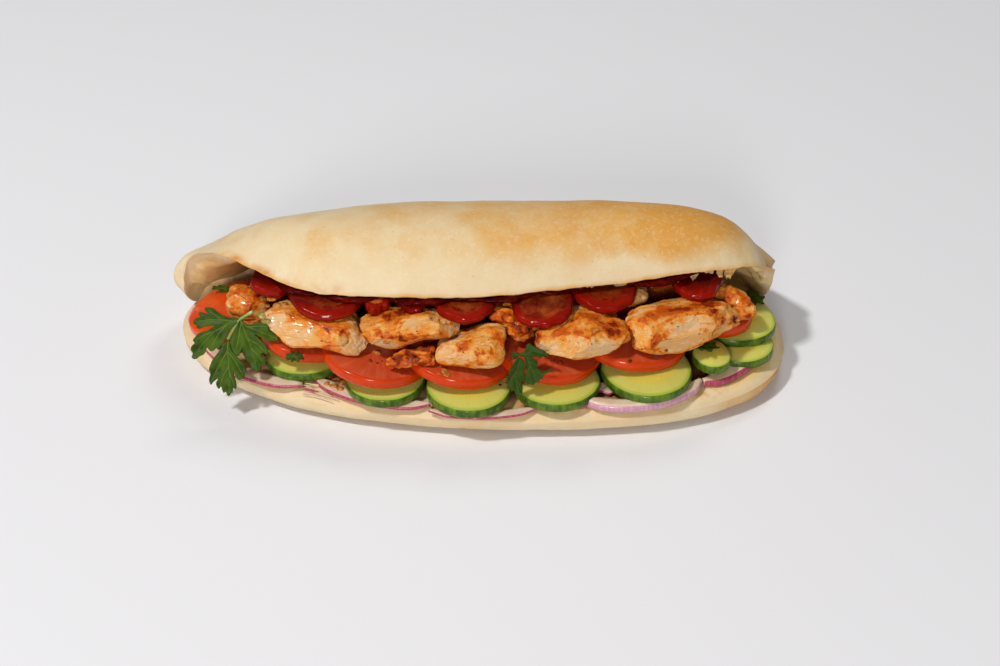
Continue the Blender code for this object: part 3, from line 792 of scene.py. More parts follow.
def sliceShape(centre, half, side, front, seed, bulge, waves, uneven=1.0, droop=0.0, roll=0.0,
               dome=0.0, bow=0.0):
    # half a cross-section spun round the middle, then pulled out of round, tipped and placed
    shape = bmesh.new()
    rings = sliceCut["rings"]
    points = [(k / rings * 0.955, 1.0) for k in range(rings + 1)]
    points += [(0.978, 0.96), (0.991, 0.84), (0.998 + bulge * 0.5, 0.5), (1 + bulge, 0.0)]
    points += [(reach, -height) for reach, height in reversed(points[:-1])]
    corners = [shape.verts.new((reach, 0, height * half.z)) for reach, height in points]
    profile = [shape.edges.new(pair) for pair in zip(corners, corners[1:])]
    bmesh.ops.spin(shape, geom=corners + profile, cent=(0, 0, 0), axis=(0, 0, 1), angle=2 * pi,
                   steps=sliceCut["steps"], use_merge=True)
    bmesh.ops.remove_doubles(shape, verts=shape.verts, dist=1e-6)
    bmesh.ops.recalc_face_normals(shape, faces=shape.faces)
    layers = newLayers(shape, "acrossSlice", "alongSlice")
    turn = Matrix.Rotation(radians(side), 3, "Y") @ Matrix.Rotation(radians(front), 3, "X")
    for vertex in shape.verts:
        reach = Vector((vertex.co.x, vertex.co.y, 0))
        vertex[layers["acrossSlice"]], vertex[layers["alongSlice"]] = reach.x, reach.y
        spot = reach + centre / mm
        out = noise.noise(spot) + 0.35 * noise.noise(spot * 3)
        out = 1 + uneven * sliceCut["wander"] / half.x * out
        lift = waves * swaySum(spot, (0.7, 0.6, seed), (0.3, 0.22, seed + 1))
        lift -= droop * clamp(-reach.y - 0.2) ** 1.5
        face = 1 if vertex.co.z > 0 else -1
        if reach.length < 0.92:
            lift += waves * face * 0.6 * sway(spot, 0.3, seed + 5)
        if face > 0:
            # the rim of a soft slice rolls up round its sunken pulp
            lift -= roll * rise(reach.length, 0.8, 0.5)
            middle = max(0, 1 - reach.length**2)
            lift += dome * middle**0.7 + bow * middle**1.2
        if dome:
            lift -= 0.7 * dome * face * bell((reach - sliceCut["dent"]).length, sliceCut["dentReach"])
        flat = Vector((reach.x * half.x * out, reach.y * half.y * out, vertex.co.z + lift))
        vertex.co = turn @ flat + centre
    return shape


def polarNodes(tree):
    # radius and angle on a slice, from its own attributes
    across, along = attribute(tree, "acrossSlice"), attribute(tree, "alongSlice")
    radius = calc(tree, "SQRT", plus(tree, times(tree, across, across), times(tree, along, along)))
    return radius, calc(tree, "ARCTAN2", along, across)


def radialStreaks(tree, radius, angle, number, seed):
    # noise that runs outwards: fine round the slice, long along its radius
    spot = put(tree, "ShaderNodeCombineXYZ", {
        "X": times(tree, calc(tree, "SINE", angle), number),
        "Y": times(tree, calc(tree, "COSINE", angle), number),
        "Z": plus(tree, times(tree, radius, 2.0), seed)})
    return cloudy(tree, spot.outputs[0], 1.0, 3.0)


def tomatoFlesh(tree, colours):
    # a cut face: streaks, wedges of jelly and a pale core
    radius, angle = polarNodes(tree)
    streaks = ramp(tree, radialStreaks(tree, radius, angle, 9.0, 0.0), 0.4, 0.7, 0.0, 0.38)
    wedge = ramp(tree, calc(tree, "SINE", times(tree, angle, 5.0)), -0.35, 0.1)
    ring = times(tree, ramp(tree, radius, 0.30, 0.38), ramp(tree, radius, 0.80, 0.72))
    return painted(tree, blend(tree, streaks, colours["flesh"], colours["streak"]),
                   (times(tree, wedge, ring), 0.35, colours["jelly"]),
                   (ramp(tree, radius, 0.26, 0.16), 0.5, colours["core"]))


def tomatoLook(name, colours, wet, skinFrom=0.945, inSauce=False):
    look, tree, shader = newMaterial(name)
    place = objectPlace(tree)
    if inSauce:
        # pulp shows as uneven patches, not as a cut face's wedges
        pulpShown = attribute(tree, "pulpShown")
        pulp = patchy(tree, place, 120.0, 0.2, minus(tree, times(tree, pulpShown, 0.45), 0.3))
        grains = blend(tree, patchy(tree, place, 420.0, 0.28), colours["core"], colours["streak"])
        flesh = blend(tree, pulp, colours["jelly"], grains)
    else:
        flesh = tomatoFlesh(tree, colours)
    blotch = patchy(tree, place, 120.0, 0.25)
    skin = blend(tree, times(tree, blotch, 0.6), colours["skin"], colours["deep"])
    wander, border = (0.6, 0.16) if inSauce else (0.02, 0.03)
    edge = plus(tree, polarNodes(tree)[0], times(tree, minus(tree, blotch, 0.5), wander))
    isSkin = ramp(tree, edge, skinFrom, skinFrom + border)
    colour = blend(tree, isSkin, flesh, skin)
    if inSauce:
        # thick dark sauce lies on the half that goes in under the lip, which is also painted dark as
        # painted shade from the lip
        under = plus(tree, attribute(tree, "alongSlice"), times(tree, blotch, 0.3))
        under = ramp(tree, under, -0.62, 0.0, 0.0, 0.93)
        under = times(tree, under, minus(tree, 1.0, times(tree, pulpShown, 0.55)))
        colour = blend(tree, under, colour, colours["under"])
    feed(tree, shader, {
        "Base Color": colour, "Roughness": ramp(tree, isSkin, 0, 1, 0.34, 0.18),
        "Specular IOR Level": 0.06 if inSauce else 0.14,
        "Coat Weight": ramp(tree, isSkin, 0, 1, 0.35 * wet, wet), "Coat Roughness": 0.04,
        "Subsurface Weight": 0.12, "Subsurface Radius": (1.0, 0.2, 0.1), "Subsurface Scale": 0.0015,
        "Normal": bumpy(tree, grainy(tree, place, 500.0, 1600.0, 0.4), 0.25, 0.25 * mm),
    })
    return look


def cucumberLook():
    look, tree, shader = newMaterial("cucumberSlice")
    place = objectPlace(tree)
    radius, angle = polarNodes(tree)
    streaks = ramp(tree, radialStreaks(tree, radius, angle, 11.0, 3.0), 0.36, 0.6, 0.5, 1.0)
    fine = ramp(tree, radialStreaks(tree, radius, angle, 30.0, 7.0), 0.5, 0.75)
    mottle = times(tree, patchy(tree, place, 210.0, 0.16), streaks)
    pips = patchy(tree, place, 480.0, 0.05, -0.14)
    pips = times(tree, pips, times(tree, ramp(tree, radius, 0.25, 0.4), ramp(tree, radius, 0.66, 0.5)))
    isSkin = ramp(tree, radius, 0.962, 0.985)
    paint = cucumberColours
    skin = blend(tree, mottle, paint["skin"], paint["streak"])
    colour = painted(
        tree, blend(tree, ramp(tree, radius, 0.97, 0.87), paint["rim"], paint["flesh"]),
        (ramp(tree, radius, 0.72, 0.60), 1, paint["middle"]), (pips, 1, paint["seed"]),
        (fine, 0.25, paint["rim"]), (isSkin, 1, skin),
    )
    height = plus(tree, grainy(tree, place, 420.0, 1500.0, 0.4), times(
        tree, times(tree, mottle, isSkin), 0.8))
    feed(tree, shader, {
        "Base Color": colour, "Roughness": ramp(tree, isSkin, 0, 1, 0.28, 0.38),
        "Specular IOR Level": 0.16, "Coat Weight": 0.18, "Coat Roughness": 0.06,
        "Subsurface Weight": 0.4, "Subsurface Radius": (1.0, 1.0, 0.25), "Subsurface Scale": 0.0035,
        "Normal": bumpy(tree, height, 0.35, 0.3 * mm),
    })
    return look


def makeSlices():
    print("tomato and cucumber slices")
    cucumber = cucumberLook()
    tomato = tomatoLook("tomatoSlice", tomatoColours, 0.22)
    cap = tomatoLook("tomatoEnd", capColours, 0.25, skinFrom=-0.5)
    sauced = tomatoLook("saucedTomato", saucedColours, 0.22, skinFrom=0.66, inSauce=True)
    for i, (x, y, halfX, halfY, lift) in enumerate(cucumberSlices, 1):
        thick = sliceCut["cucumberThick"] / 2
        centre = Vector((x, y, sliceCut["cucumberBase"] + thick + lift)) * mm
        half = Vector((halfX, halfY, thick)) * mm
        shape = sliceShape(centre, half, 0, 0, i, **sliceForms["cucumber"])
        finishPiece(f"cucumberSlice{i}", shape, cucumber, "cucumber", f"cucumber_{i}")
    for i, (x, y, radius, lift, side, front) in enumerate(tomatoSlices, 1):
        centre = Vector((x, y, sliceCut["tomatoMiddle"] + lift)) * mm
        half = Vector((radius, radius, sliceCut["tomatoThick"] / 2)) * mm
        # the first is the smooth end of a tomato, skin side up
        form, look = ("tomatoEnd", cap) if i == 1 else ("tomato", tomato)
        shape = sliceShape(centre, half, side, front, 20 + i, **sliceForms[form])
        finishPiece(f"tomatoSlice{i}", shape, look, "tomato", f"tomato_{i}")
    for i, (x, y, z, halfX, halfY, side, front, pulpShown) in enumerate(saucedSlices, 1):
        centre = Vector((x, y + sliceCut["saucedBack"], z)) * mm
        half = Vector((halfX, halfY, sliceCut["saucedThick"] / 2)) * mm
        shape = sliceShape(centre, half, side, front, 40 + i, **sliceForms["sauced"])
        layers = newLayers(shape, "pulpShown")
        for vertex in shape.verts:
            vertex[layers["pulpShown"]] = pulpShown
        finishPiece(f"saucedSlice{i}", shape, sauced, "sauced_tomato", f"upper_tomato_{i}")


# red onion

# arcs: centre x, y, outer radius, first and last angle, width and height, in mm and degrees
onionArcs = (
    (-88, -8, 36.5, -160, -131, 5, 1.8), (-66, 14, 70, -131, -98, 7, 1.8),
    (-28, -12, 57, -141, -82, 5.5, 1.8), (0, -18, 57.5, -112, -64, 4.4, 1.2),
    (45, -10, 59.5, -117, -90, 6, 1.8), (60, -27, 43.5, -112, -36, 4.5, 4.1),
    (80, -10, 47, -70, -28, 7, 3.2), (58, -49, 10, -165, -100, 5, 1.5),
)
# the height they lie at in mm, degrees for each step of their mesh, and how their ends narrow
onionCut = {"base": 12.5, "step": 1.5, "endReach": 9, "endWidth": 0.35, "swayAngle": 14}
onionColours = {
    "flesh": (0.80, 0.63, 0.45), "clear": (0.64, 0.44, 0.29), "skin": (0.38, 0.035, 0.09),
    "lilac": (0.55, 0.25, 0.38),
}


def onionProfile(radius, width, height):
    # a strip's cross-section as reach and height in mm: flat on top, swelling at its outer wall
    inner = [(radius - width, 0.25 * height), (radius - width, 0.8 * height)]
    top = [(radius - width + 0.3, height)]
    top += [(radius - share * width, height) for share in (0.7, 0.45, 0.22, 0.08)]
    outer = [(radius + 0.15 * height, 0.88 * height), (radius + 0.25 * height, 0.5 * height),
             (radius + 0.15 * height, 0.15 * height), (radius - 0.1 * width, 0)]
    return inner + top + outer


def makeOnions():
    print("red onion")
    strip, band = onionLook("onionStrip", "skin"), onionLook("onionBand", "lilac")
    broad = onionLook("onionSkin", "skin", 0.16)
    for i, (x, y, radius, first, last, width, height) in enumerate(onionArcs, 1):
        shape = bmesh.new()
        start = Vector((cos(radians(first)), sin(radians(first)), 0))
        corners = [shape.verts.new(start * reach * mm + Vector((0, 0, z * mm)))
                   for reach, z in onionProfile(radius, width, height)]
        endFace = shape.faces.new(corners)
        steps = max(12, round((last - first) / onionCut["step"]))
        bmesh.ops.spin(shape, geom=[endFace], cent=(0, 0, 0), axis=(0, 0, 1),
                       angle=radians(last - first), steps=steps, use_duplicate=False)
        bmesh.ops.recalc_face_normals(shape, faces=shape.faces)
        layers = newLayers(shape, "outerEdge")
        for vertex in shape.verts:
            reach = Vector((vertex.co.x, vertex.co.y)).length / mm
            vertex[layers["outerEdge"]] = clamp((radius + 0.25 * height - reach) / width)
            angle = degrees(atan2(vertex.co.y, vertex.co.x))
            ends = rise(min(abs(angle - first), abs(angle - last)), 0, onionCut["endReach"])
            squeezed = mix(radius - 0.4 * width, reach, mix(onionCut["endWidth"], 1, ends))
            vertex.co.x *= squeezed / reach
            vertex.co.y *= squeezed / reach
            lift = 0.5 * sway((angle, 0, i), onionCut["swayAngle"], i) + 0.3
            vertex.co.z += lift * mm * (1 - 0.4 * ends)
            vertex.co += Vector((x, y, onionCut["base"])) * mm
        # the tallest is the lilac one, and the next shows more of its skin
        look = band if height > 4 else broad if height > 3 else strip
        finishPiece(f"onionStrip{i}", shape, look, "red_onion", f"onion_{i}")


# thin layers fanned out beside the second strip: points in mm
onionThreads = (
    ((-77.7, -52.6), (-70.8, -54.8), (-62.7, -59.9)),
    ((-75.8, -55.5), (-68.0, -57.7), (-60.0, -62.8)),
    ((-76.3, -58.4), (-68.6, -59.9), (-62.8, -64.2)),
    ((-68.4, -53.3), (-60.9, -57.0), (-53.2, -63.5)),
    ((-74.1, -51.1), (-66.7, -52.6), (-59.7, -55.5)),
)
# height is where to look for the bread; each thread lies a step higher than the one before it
threadSize = {
    "radius": 0.36 * mm, "tapers": (0.5, 1.0, 0.6), "height": 14.6 * mm, "lift": 1.2, "step": 0.12,
}


def makeOnionThreads():
    print("onion threads")
    bpy.context.view_layer.update()
    bread = finished[0]
    runs = []
    for i, points in enumerate(onionThreads):
        lift = (threadSize["lift"] + threadSize["step"] * i) * mm
        spots = [bread.closest_point_on_mesh((x * mm, y * mm, threadSize["height"]))[1] for x, y in points]
        places = [(spot.x, spot.y, spot.z + lift) for spot in spots]
        runs.append((places, threadSize["radius"], threadSize["tapers"]))
    whole = strands(runs, 2, 12)
    layers = newLayers(whole, "outerEdge")
    for vertex in whole.verts:
        # thread by thread, more or less of its skin shows
        vertex[layers["outerEdge"]] = clamp(0.24 + 0.5 * sway(vertex.co, 6 * mm, 3))
    finishPiece("onionThreads", whole, bpy.data.materials["onionStrip"], "red_onion")


def onionLook(name, edge, reach=0.08):
    look, tree, shader = newMaterial(name)
    cloud = patchy(tree, objectPlace(tree), 160.0, 0.25)
    lines = cloudy(tree, objectPlace(tree, (1, 1, 0.06)), 1100.0, 2.0)
    flesh = blend(tree, cloud, onionColours["flesh"], onionColours["clear"])
    skin = blend(tree, ramp(tree, lines, 0.42, 0.62), onionColours[edge], onionColours["flesh"])
    skin = blend(tree, 0.25 if edge == "lilac" else 0.1, onionColours[edge], skin)
    wall = ramp(tree, attribute(tree, "outerEdge"), reach + 0.07, reach - 0.01)
    feed(tree, shader, {
        "Base Color": blend(tree, wall, flesh, skin), "Roughness": ramp(tree, cloud, 0, 1, 0.22, 0.34),
        "Specular IOR Level": 0.3, "Coat Weight": 0.25, "Coat Roughness": 0.06,
        "Subsurface Weight": 0.25, "Subsurface Radius": (1.0, 0.7, 0.7), "Subsurface Scale": 0.0015,
        "Normal": bumpy(tree, lines, 0.3, 0.2 * mm),
    })
    return look


# grilled chicken

# each piece: how deep its bundles part, its turn in degrees, how fibrous, crinkled and oily it
# is, and its cut facets, each as the way it faces and its share of the piece's reach that way
chickenPieces = {
    "chicken_1": {
        "bundles": 0.32, "turn": 4, "fibre": 0.4, "crinkle": 0.2, "glaze": -0.02, "seed": 4,
        "facets": (((0.05, -0.55, 0.83), 0.72), ((-0.1, -0.92, -0.3), 0.8), ((0.75, -0.4, 0.55), 0.78)),
    },
    "chicken_2": {
        "bundles": 0.32, "turn": 8, "fibre": 0.3, "crinkle": 0.2, "glaze": -0.06, "seed": 6,
        "facets": (((-0.38, -0.5, 0.78), 0.74), ((-0.2, -0.95, -0.1), 0.88)),
    },
    "chicken_3": {
        "bundles": 0.41, "turn": -17, "fibre": 0.5, "crinkle": 0.22, "glaze": 0, "seed": 3,
        "facets": (((-0.2, -0.66, 0.72), 0.74), ((0.05, -0.98, -0.1), 0.8), ((0.55, -0.62, 0.55), 0.78)),
    },
    "chicken_4": {
        "bundles": 0.32, "turn": -5, "fibre": 0.4, "crinkle": 0.4, "glaze": 0.02, "seed": 1,
        "facets": (((-0.2, -0.7, 0.65), 0.8), ((0.5, -0.8, 0.2), 0.85)),
    },
    "chicken_5": {
        "bundles": 0.23, "turn": 10, "fibre": 0.3, "crinkle": 0.5, "glaze": 0.08, "seed": 2,
        "facets": (),
    },
    "chicken_6": {
        "bundles": 0.14, "turn": -8, "fibre": 0.25, "crinkle": 0.95, "glaze": 0.08, "seed": 5,
        "facets": (),
    },
    "chicken_7": {
        "bundles": 0.36, "turn": 10, "fibre": 0.42, "crinkle": 0.3, "glaze": 0, "seed": 8,
        "facets": (((-0.38, -0.8, 0.46), 0.76), ((0.35, -0.55, 0.75), 0.82), ((0.25, -0.95, -0.2), 0.82)),
    },
    "chicken_8": {
        "bundles": 0.14, "turn": 0, "fibre": 0.25, "crinkle": 0.95, "glaze": 0.1, "seed": 7,
        "facets": (((0.1, -0.9, -0.3), 0.8),),
    },
    "chicken_9": {
        "bundles": 0.43, "turn": 22, "fibre": 0.5, "crinkle": 0.3, "glaze": -0.01, "seed": 9,
        "facets": (((-0.42, -0.76, 0.48), 0.8), ((0.22, -0.7, 0.68), 0.78), ((0.3, -0.93, -0.2), 0.8)),
    },
    "chicken_10": {
        "bundles": 0.36, "turn": 40, "fibre": 0.55, "crinkle": 0.4, "glaze": 0.05, "seed": 10,
        "facets": (((0.3, -0.75, 0.55), 0.85),),
    },
    "chicken_11": {
        "bundles": 0.23, "turn": 0, "fibre": 0.4, "crinkle": 0.4, "glaze": 0, "seed": 11,
        "facets": (),
    },
    "chicken_bed": {
        "bundles": 0.27, "turn": 0, "fibre": 0.5, "crinkle": 0.5, "glaze": 0.34, "seed": 20,
        "facets": (),
    },
}
chickenCut = {
    "finer": 3, "facetSway": 0.5 * mm, "facetFlat": 0.92, "facetEdge": 1.1 * mm,
    "stretch": 0.22, "bend": 1.5 * mm, "bendSize": 8 * mm, "sink": 0.25 * mm,
    # how large each kind of relief is
    "bundle": 7 * mm, "split": 9 * mm, "lump": 11 * mm, "fold": 4.5 * mm, "wrinkle": 2.8 * mm,
    "fibre": 2.4 * mm, "fineFibre": 1.1 * mm, "glaze": 12 * mm,
    "markGrain": 2.2 * mm, "markRagged": 1.9, "markReach": 1.3,
}
chickenColours = {
    "pale": (0.66, 0.41, 0.20), "warm": (0.70, 0.31, 0.05), "glaze": (0.68, 0.175, 0.004),
    "deepGlaze": (0.46, 0.058, 0.001), "sear": (0.19, 0.017, 0.0005), "char": (0.025, 0.004, 0.002),
    "white": (0.78, 0.57, 0.37),
}
# browned places on each piece: x, y, z and radius in mm, and strength (0.6 orange, 1.3 brown, 2.3 char)
searMarks = {
    "chicken_1": (
        (-47.7, -51, 35.8, 1.5, 1.3), (-44, -41, 43.5, 2, 1.3), (-41.4, -39.7, 44.1, 2, 1.3),
        (-38, -45.1, 44.4, 3.2, 1.3), (-33.5, -41.8, 43.6, 2.2, 1.8), (-28.1, -45, 46.6, 2.5, 0.85),
        (-34.6, -49.3, 44.9, 3, 0.65), (-22.7, -44.2, 46.1, 2, 0.65), (-17.7, -55.8, 45.2, 2, 0.65),
        (-15.3, -42.3, 43.8, 2, 0.65), (-41.9, -53.5, 42.2, 1.3, 1.3), (-39.4, -55, 41.4, 1.4, 1.3),
        (-35.9, -56.9, 41.4, 1.4, 1.3), (-32.2, -57.9, 41.2, 1.4, 2.3), (-27.6, -57.7, 42.5, 1.4, 1.3),
        (-23.9, -57.3, 43, 1.6, 0.65), (-30.9, -57.1, 45, 1, 1.3), (-9.8, -48.3, 41.9, 2, 0.65),
        (-8, -46.9, 42.4, 1.5, 1.3), (-13.7, -53.6, 42.3, 2, 0.65), (-20.2, -53.5, 46.6, 2.5, 0.39),
        (-32, -57.3, 36.2, 2.2, 0.65), (-13.4, -51.6, 36.9, 1.8, 0.78), (-8.6, -50.7, 40.6, 1.6, 0.85),
    ),
    "chicken_2": (
        (-18, -54.1, 33.8, 1.8, 1), (-13.5, -62, 39.4, 1.5, 1.3), (-11.1, -62.5, 39.2, 1.5, 1),
        (-8.4, -61.8, 39.5, 1.5, 1.3), (-6.1, -61.2, 40.1, 1.6, 1), (-4.9, -58.7, 40.7, 1.4, 0.91),
        (-5.6, -45.6, 38, 1.4, 1.3), (-2.2, -47.8, 40.2, 1.6, 0.85), (5.3, -50.8, 42.6, 1.8, 0.78),
        (7.8, -55.1, 41.3, 1.6, 0.91), (9.7, -57, 39, 1.6, 0.65), (-14.9, -64, 31.8, 1.8, 0.78),
        (-9.9, -63.7, 31.1, 1.6, 0.65), (-4.9, -64.7, 31.8, 1.6, 0.78), (0.5, -67.3, 35.1, 1.5, 0.65),
        (0.9, -65.2, 40.2, 0.8, 1.3), (-0.7, -66.6, 38.8, 1.2, 0.85), (6.2, -64.8, 39.3, 1.5, 0.65),
    ),
    "chicken_3": (
        (-79.2, -43.6, 43.7, 1.3, 1.7), (-79.6, -45.5, 43.1, 1.2, 1.3), (-75.4, -40.8, 43.4, 3, 0.65),
        (-82.3, -47.2, 42.7, 1.6, 0.65), (-74.5, -55.1, 35.7, 4, 0.45), (-62.7, -51.7, 41.5, 1.8, 1.3),
        (-64.6, -50.4, 42.1, 3, 0.65), (-63.1, -54.8, 39, 1.6, 1.3), (-62.8, -56.3, 37.1, 1.8, 1.3),
        (-59.3, -48.7, 42.5, 2.5, 0.65), (-56.5, -51.4, 41.3, 1.3, 1.7), (-54.5, -53.1, 40.2, 1.4, 1.8),
        (-52.4, -54.1, 38.9, 1.5, 1.7), (-50, -53.1, 37.6, 1.4, 1.3), (-67.5, -45.1, 43.1, 2.5, 0.65),
        (-71.3, -44.8, 43, 2.5, 0.78), (-85.2, -40, 43.8, 2, 0.65), (-53.6, -59.2, 32.5, 2.5, 0.65),
        (-59.9, -57.4, 33.8, 2.5, 0.52),
    ),
    "chicken_4": (
        (-104.1, -23.8, 43.6, 3.5, 0.65), (-97.6, -20.5, 42.9, 3, 0.65), (-93.9, -24.1, 41.8, 2.5, 1.3),
        (-95.9, -30.1, 40.3, 2, 0.65), (-105.7, -29.2, 42, 2.5, 0.65), (-98.5, -31.6, 37.9, 2.5, 0.65),
    ),
    "chicken_6": (
        (-29.4, -59.6, 34.8, 2.4, 1.8), (-26.9, -61.4, 34.5, 2.2, 1.8), (-22.1, -55.7, 36.2, 2.2, 1.6),
        (-33.8, -62.3, 34.6, 2.2, 1.7), (-23.9, -63.7, 32.1, 2, 1.3), (-20.3, -60.6, 35, 2, 0.65),
        (-21, -62.7, 33.9, 2, 0.98),
    ),
    "chicken_7": (
        (23.6, -52.3, 38.4, 1.8, 1.7), (25.3, -49, 41.7, 1.6, 1.3), (39.4, -46.6, 43.8, 1, 1.6),
        (32.7, -53, 42.2, 2.4, 0.78), (35.5, -55.8, 43.2, 2, 0.65), (40.2, -56.2, 44.3, 1.8, 1),
        (36.9, -51.3, 43.2, 2, 0.65), (42.3, -61.7, 43.2, 1.6, 0.98), (40, -65.2, 39.2, 1.4, 1.3),
        (36.3, -63.4, 35.6, 1.5, 0.65), (42.9, -64.2, 40.4, 1.5, 0.85), (26.5, -55.1, 38.8, 1.6, 0.65),
        (43.8, -44.2, 45.1, 3, 0.65), (47.9, -47.3, 44.3, 3.4, 0.91), (51.8, -51, 44, 3.2, 1.1),
        (56, -48.1, 43.1, 2.2, 1.8), (55.1, -54.9, 43.6, 2.2, 2.1), (57.9, -53.9, 42.9, 1.8, 1.6),
        (44.4, -60.3, 43.9, 1.6, 1), (49.6, -59.8, 43.6, 1.4, 1.3), (53.5, -59.6, 43.5, 1.4, 1.3),
        (42.7, -64.4, 39.5, 1.4, 0.85), (50.9, -36.9, 42.4, 2.5, 0.65), (55.9, -40.1, 41.9, 2.5, 0.85),
        (47.8, -56, 44.8, 2.5, 0.78),
    ),
    "chicken_8": (
        (10.1, -46.1, 43.9, 1.8, 1.6), (14.8, -48.6, 42.8, 2, 2), (17, -50.1, 40.9, 1.6, 2),
        (22, -49.5, 39.6, 2.2, 2), (18.9, -45.8, 42.3, 1.8, 2), (5.7, -44.2, 41.3, 2, 1.3),
        (12.9, -43.2, 43.9, 2, 0.65), (19.5, -51.3, 37.2, 1.6, 0.65),
    ),
    "chicken_9": (
        (61.8, -49.8, 43.8, 1.4, 1.3), (65.1, -51, 45, 0.9, 2.5), (63.7, -41.7, 43.9, 1.6, 0.65),
        (64, -55.9, 42.3, 1.8, 0.65), (72.5, -46.3, 45.7, 2.4, 1), (76.5, -42.5, 46, 2.2, 1.3),
        (79.9, -42.3, 45.5, 2.2, 1.3), (83.6, -41, 45.3, 1.9, 2), (87.2, -40.4, 44.9, 1.8, 1.6),
        (92.1, -35, 43.1, 2, 1.7), (96.1, -34.2, 43.6, 2.3, 2), (98.6, -33.1, 43.6, 2.2, 1.8),
        (98.9, -41.2, 45.1, 1.8, 2.1), (80.3, -50.8, 44.5, 1.4, 0.85), (66.8, -51.6, 45, 1.6, 1.3),
        (69.3, -49.2, 45.3, 1.6, 0.91), (65.3, -56.4, 41.9, 1.8, 0.98), (77, -54.2, 42.1, 2, 0.85),
        (74.3, -56.3, 40.4, 1.8, 1), (73.2, -57.2, 38.2, 1.8, 1.3), (75.1, -57.2, 34.4, 1.6, 1.4),
        (89.6, -52.7, 42.2, 1.3, 1.4), (92.2, -51.4, 41.8, 1.1, 1.3), (95.7, -50.7, 40.8, 1.2, 0.98),
        (103, -43.7, 39.8, 1.1, 1.8), (91.9, -53.7, 36.3, 1.5, 0.65), (101.1, -42.4, 42.4, 1.4, 0.78),
        (85.2, -48.7, 45.5, 1.4, 0.52), (108.5, -38.2, 37.7, 1.4, 3), (107.3, -39, 37.4, 1, 2.3),
        (108.7, -37.8, 32.8, 1.6, 0.78), (105.3, -33.9, 43, 1.6, 0.65),
    ),
    "chicken_10": (
        (106.2, -25, 41.3, 2.2, 1.1), (111.6, -24.8, 42.3, 2, 0.78), (113.8, -27.3, 41.3, 2, 0.98),
        (116.1, -28.6, 39.6, 1.8, 1), (115.8, -30.6, 34.2, 1.8, 1.3), (113.7, -30.5, 36.7, 1.6, 0.65),
        (110.6, -28.9, 38.3, 1.5, 0.78),
    ),
}


def cutFacets(shape, piece, facetLayer):
    middle = sum((vertex.co for vertex in shape.verts), Vector()) / len(shape.verts)
    for way, share in piece["facets"]:
        way = Vector(way).normalized()
        reach = max((vertex.co - middle).dot(way) for vertex in shape.verts) * share
        for vertex in shape.verts:
            # a cut facet isn't quite flat: it sways a little along its length
            level = reach + chickenCut["facetSway"] * sway(vertex.co, 9 * mm, piece["seed"])
            over = (vertex.co - middle).dot(way) - level
            if over > 0:
                vertex.co -= way * over * chickenCut["facetFlat"]
                vertex[facetLayer] = max(vertex[facetLayer], rise(over, 0, chickenCut["facetEdge"]))


def searAt(spot, along, marks):
    # how browned a spot is by the marks round it, which have ragged edges
    ragged = Vector([sway(along, chickenCut["markGrain"], seed) for seed in (31, 32, 33)])
    spot = spot / mm + ragged * chickenCut["markRagged"]
    return max([strength * bell((spot - Vector((x, y, z))).length, chickenCut["markReach"] * size)
                for x, y, z, size, strength in marks], default=0)


def meatAt(vertex, along, piece, layers):
    # how far a spot of meat moves outwards; along runs with the piece's fibres
    cut, seed, facet = chickenCut, piece["seed"], vertex[layers["facet"]]
    bend = Vector((0, sway(along, cut["bendSize"], seed), sway(along, cut["bendSize"], seed + 9)))
    bent = Vector((along.x * cut["stretch"], along.y, along.z)) + cut["bend"] * bend
    bundles = piece["bundles"] * (cells(bent, cut["bundle"], seed + 11) - 0.85)
    fibres = 0.5 * ridged(bent, cut["fibre"], seed) + 0.45 * sway(bent, cut["fineFibre"], seed)
    folds = 1.6 * cells(bent, cut["fold"], seed + 2) - 1.1
    folds += 0.6 * ridged(along, cut["wrinkle"], seed + 3)
    folds = piece["crinkle"] * folds + 0.8 * min(0, bundles + 0.25)
    lumps = 0.6 * sway(along, cut["lump"], seed + 4) * (1 - 0.7 * facet)
    split = max(0, ridged(bent, cut["split"], seed + 7) - 0.86) / 0.14
    vertex[layers["fold"]] = folds + 0.8 * split
    vertex[layers["fibrePlace"]] = Vector((along.x * 0.14, bent.y, bent.z)) / mm
    vertex[layers["glaze"]] = piece["glaze"] + 0.22 * sway(along, cut["glaze"], seed + 6)
    move = bundles + piece["fibre"] * fibres + folds * (1 - 0.6 * facet) + lumps - 0.9 * split
    return move * mm - chickenCut["sink"]


def makeChicken():
    print("grilled chicken")
    look = chickenLook()
    for name, piece in chickenPieces.items():
        shape = bmesh.new()
        shape.from_mesh(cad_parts[name].data)
        bmesh.ops.remove_doubles(shape, verts=shape.verts, dist=0.01 * mm)
        bmesh.ops.join_triangles(shape, faces=shape.faces, angle_face_threshold=radians(40),
                                 angle_shape_threshold=radians(60))
        shape = subdivided(shape, chickenCut["finer"])
        layers = newLayers(shape, "sear", "glaze", "facet", "fold")
        layers["fibrePlace"] = shape.verts.layers.float_vector.new("fibrePlace")
        cutFacets(shape, piece, layers["facet"])
        shape.normal_update()
        turn = Matrix.Rotation(radians(-piece["turn"]), 3, "Z")
        moves = []
        for vertex in shape.verts:
            along = turn @ vertex.co
            moves.append(meatAt(vertex, along, piece, layers))
            vertex[layers["sear"]] = searAt(vertex.co, along, searMarks.get(name, ()))
        for vertex, move in zip(shape.verts, moves):
            vertex.co += vertex.normal * move
        finishPiece(name.replace("chicken_", "chickenPiece_"), shape, look, "grilled_chicken", name)


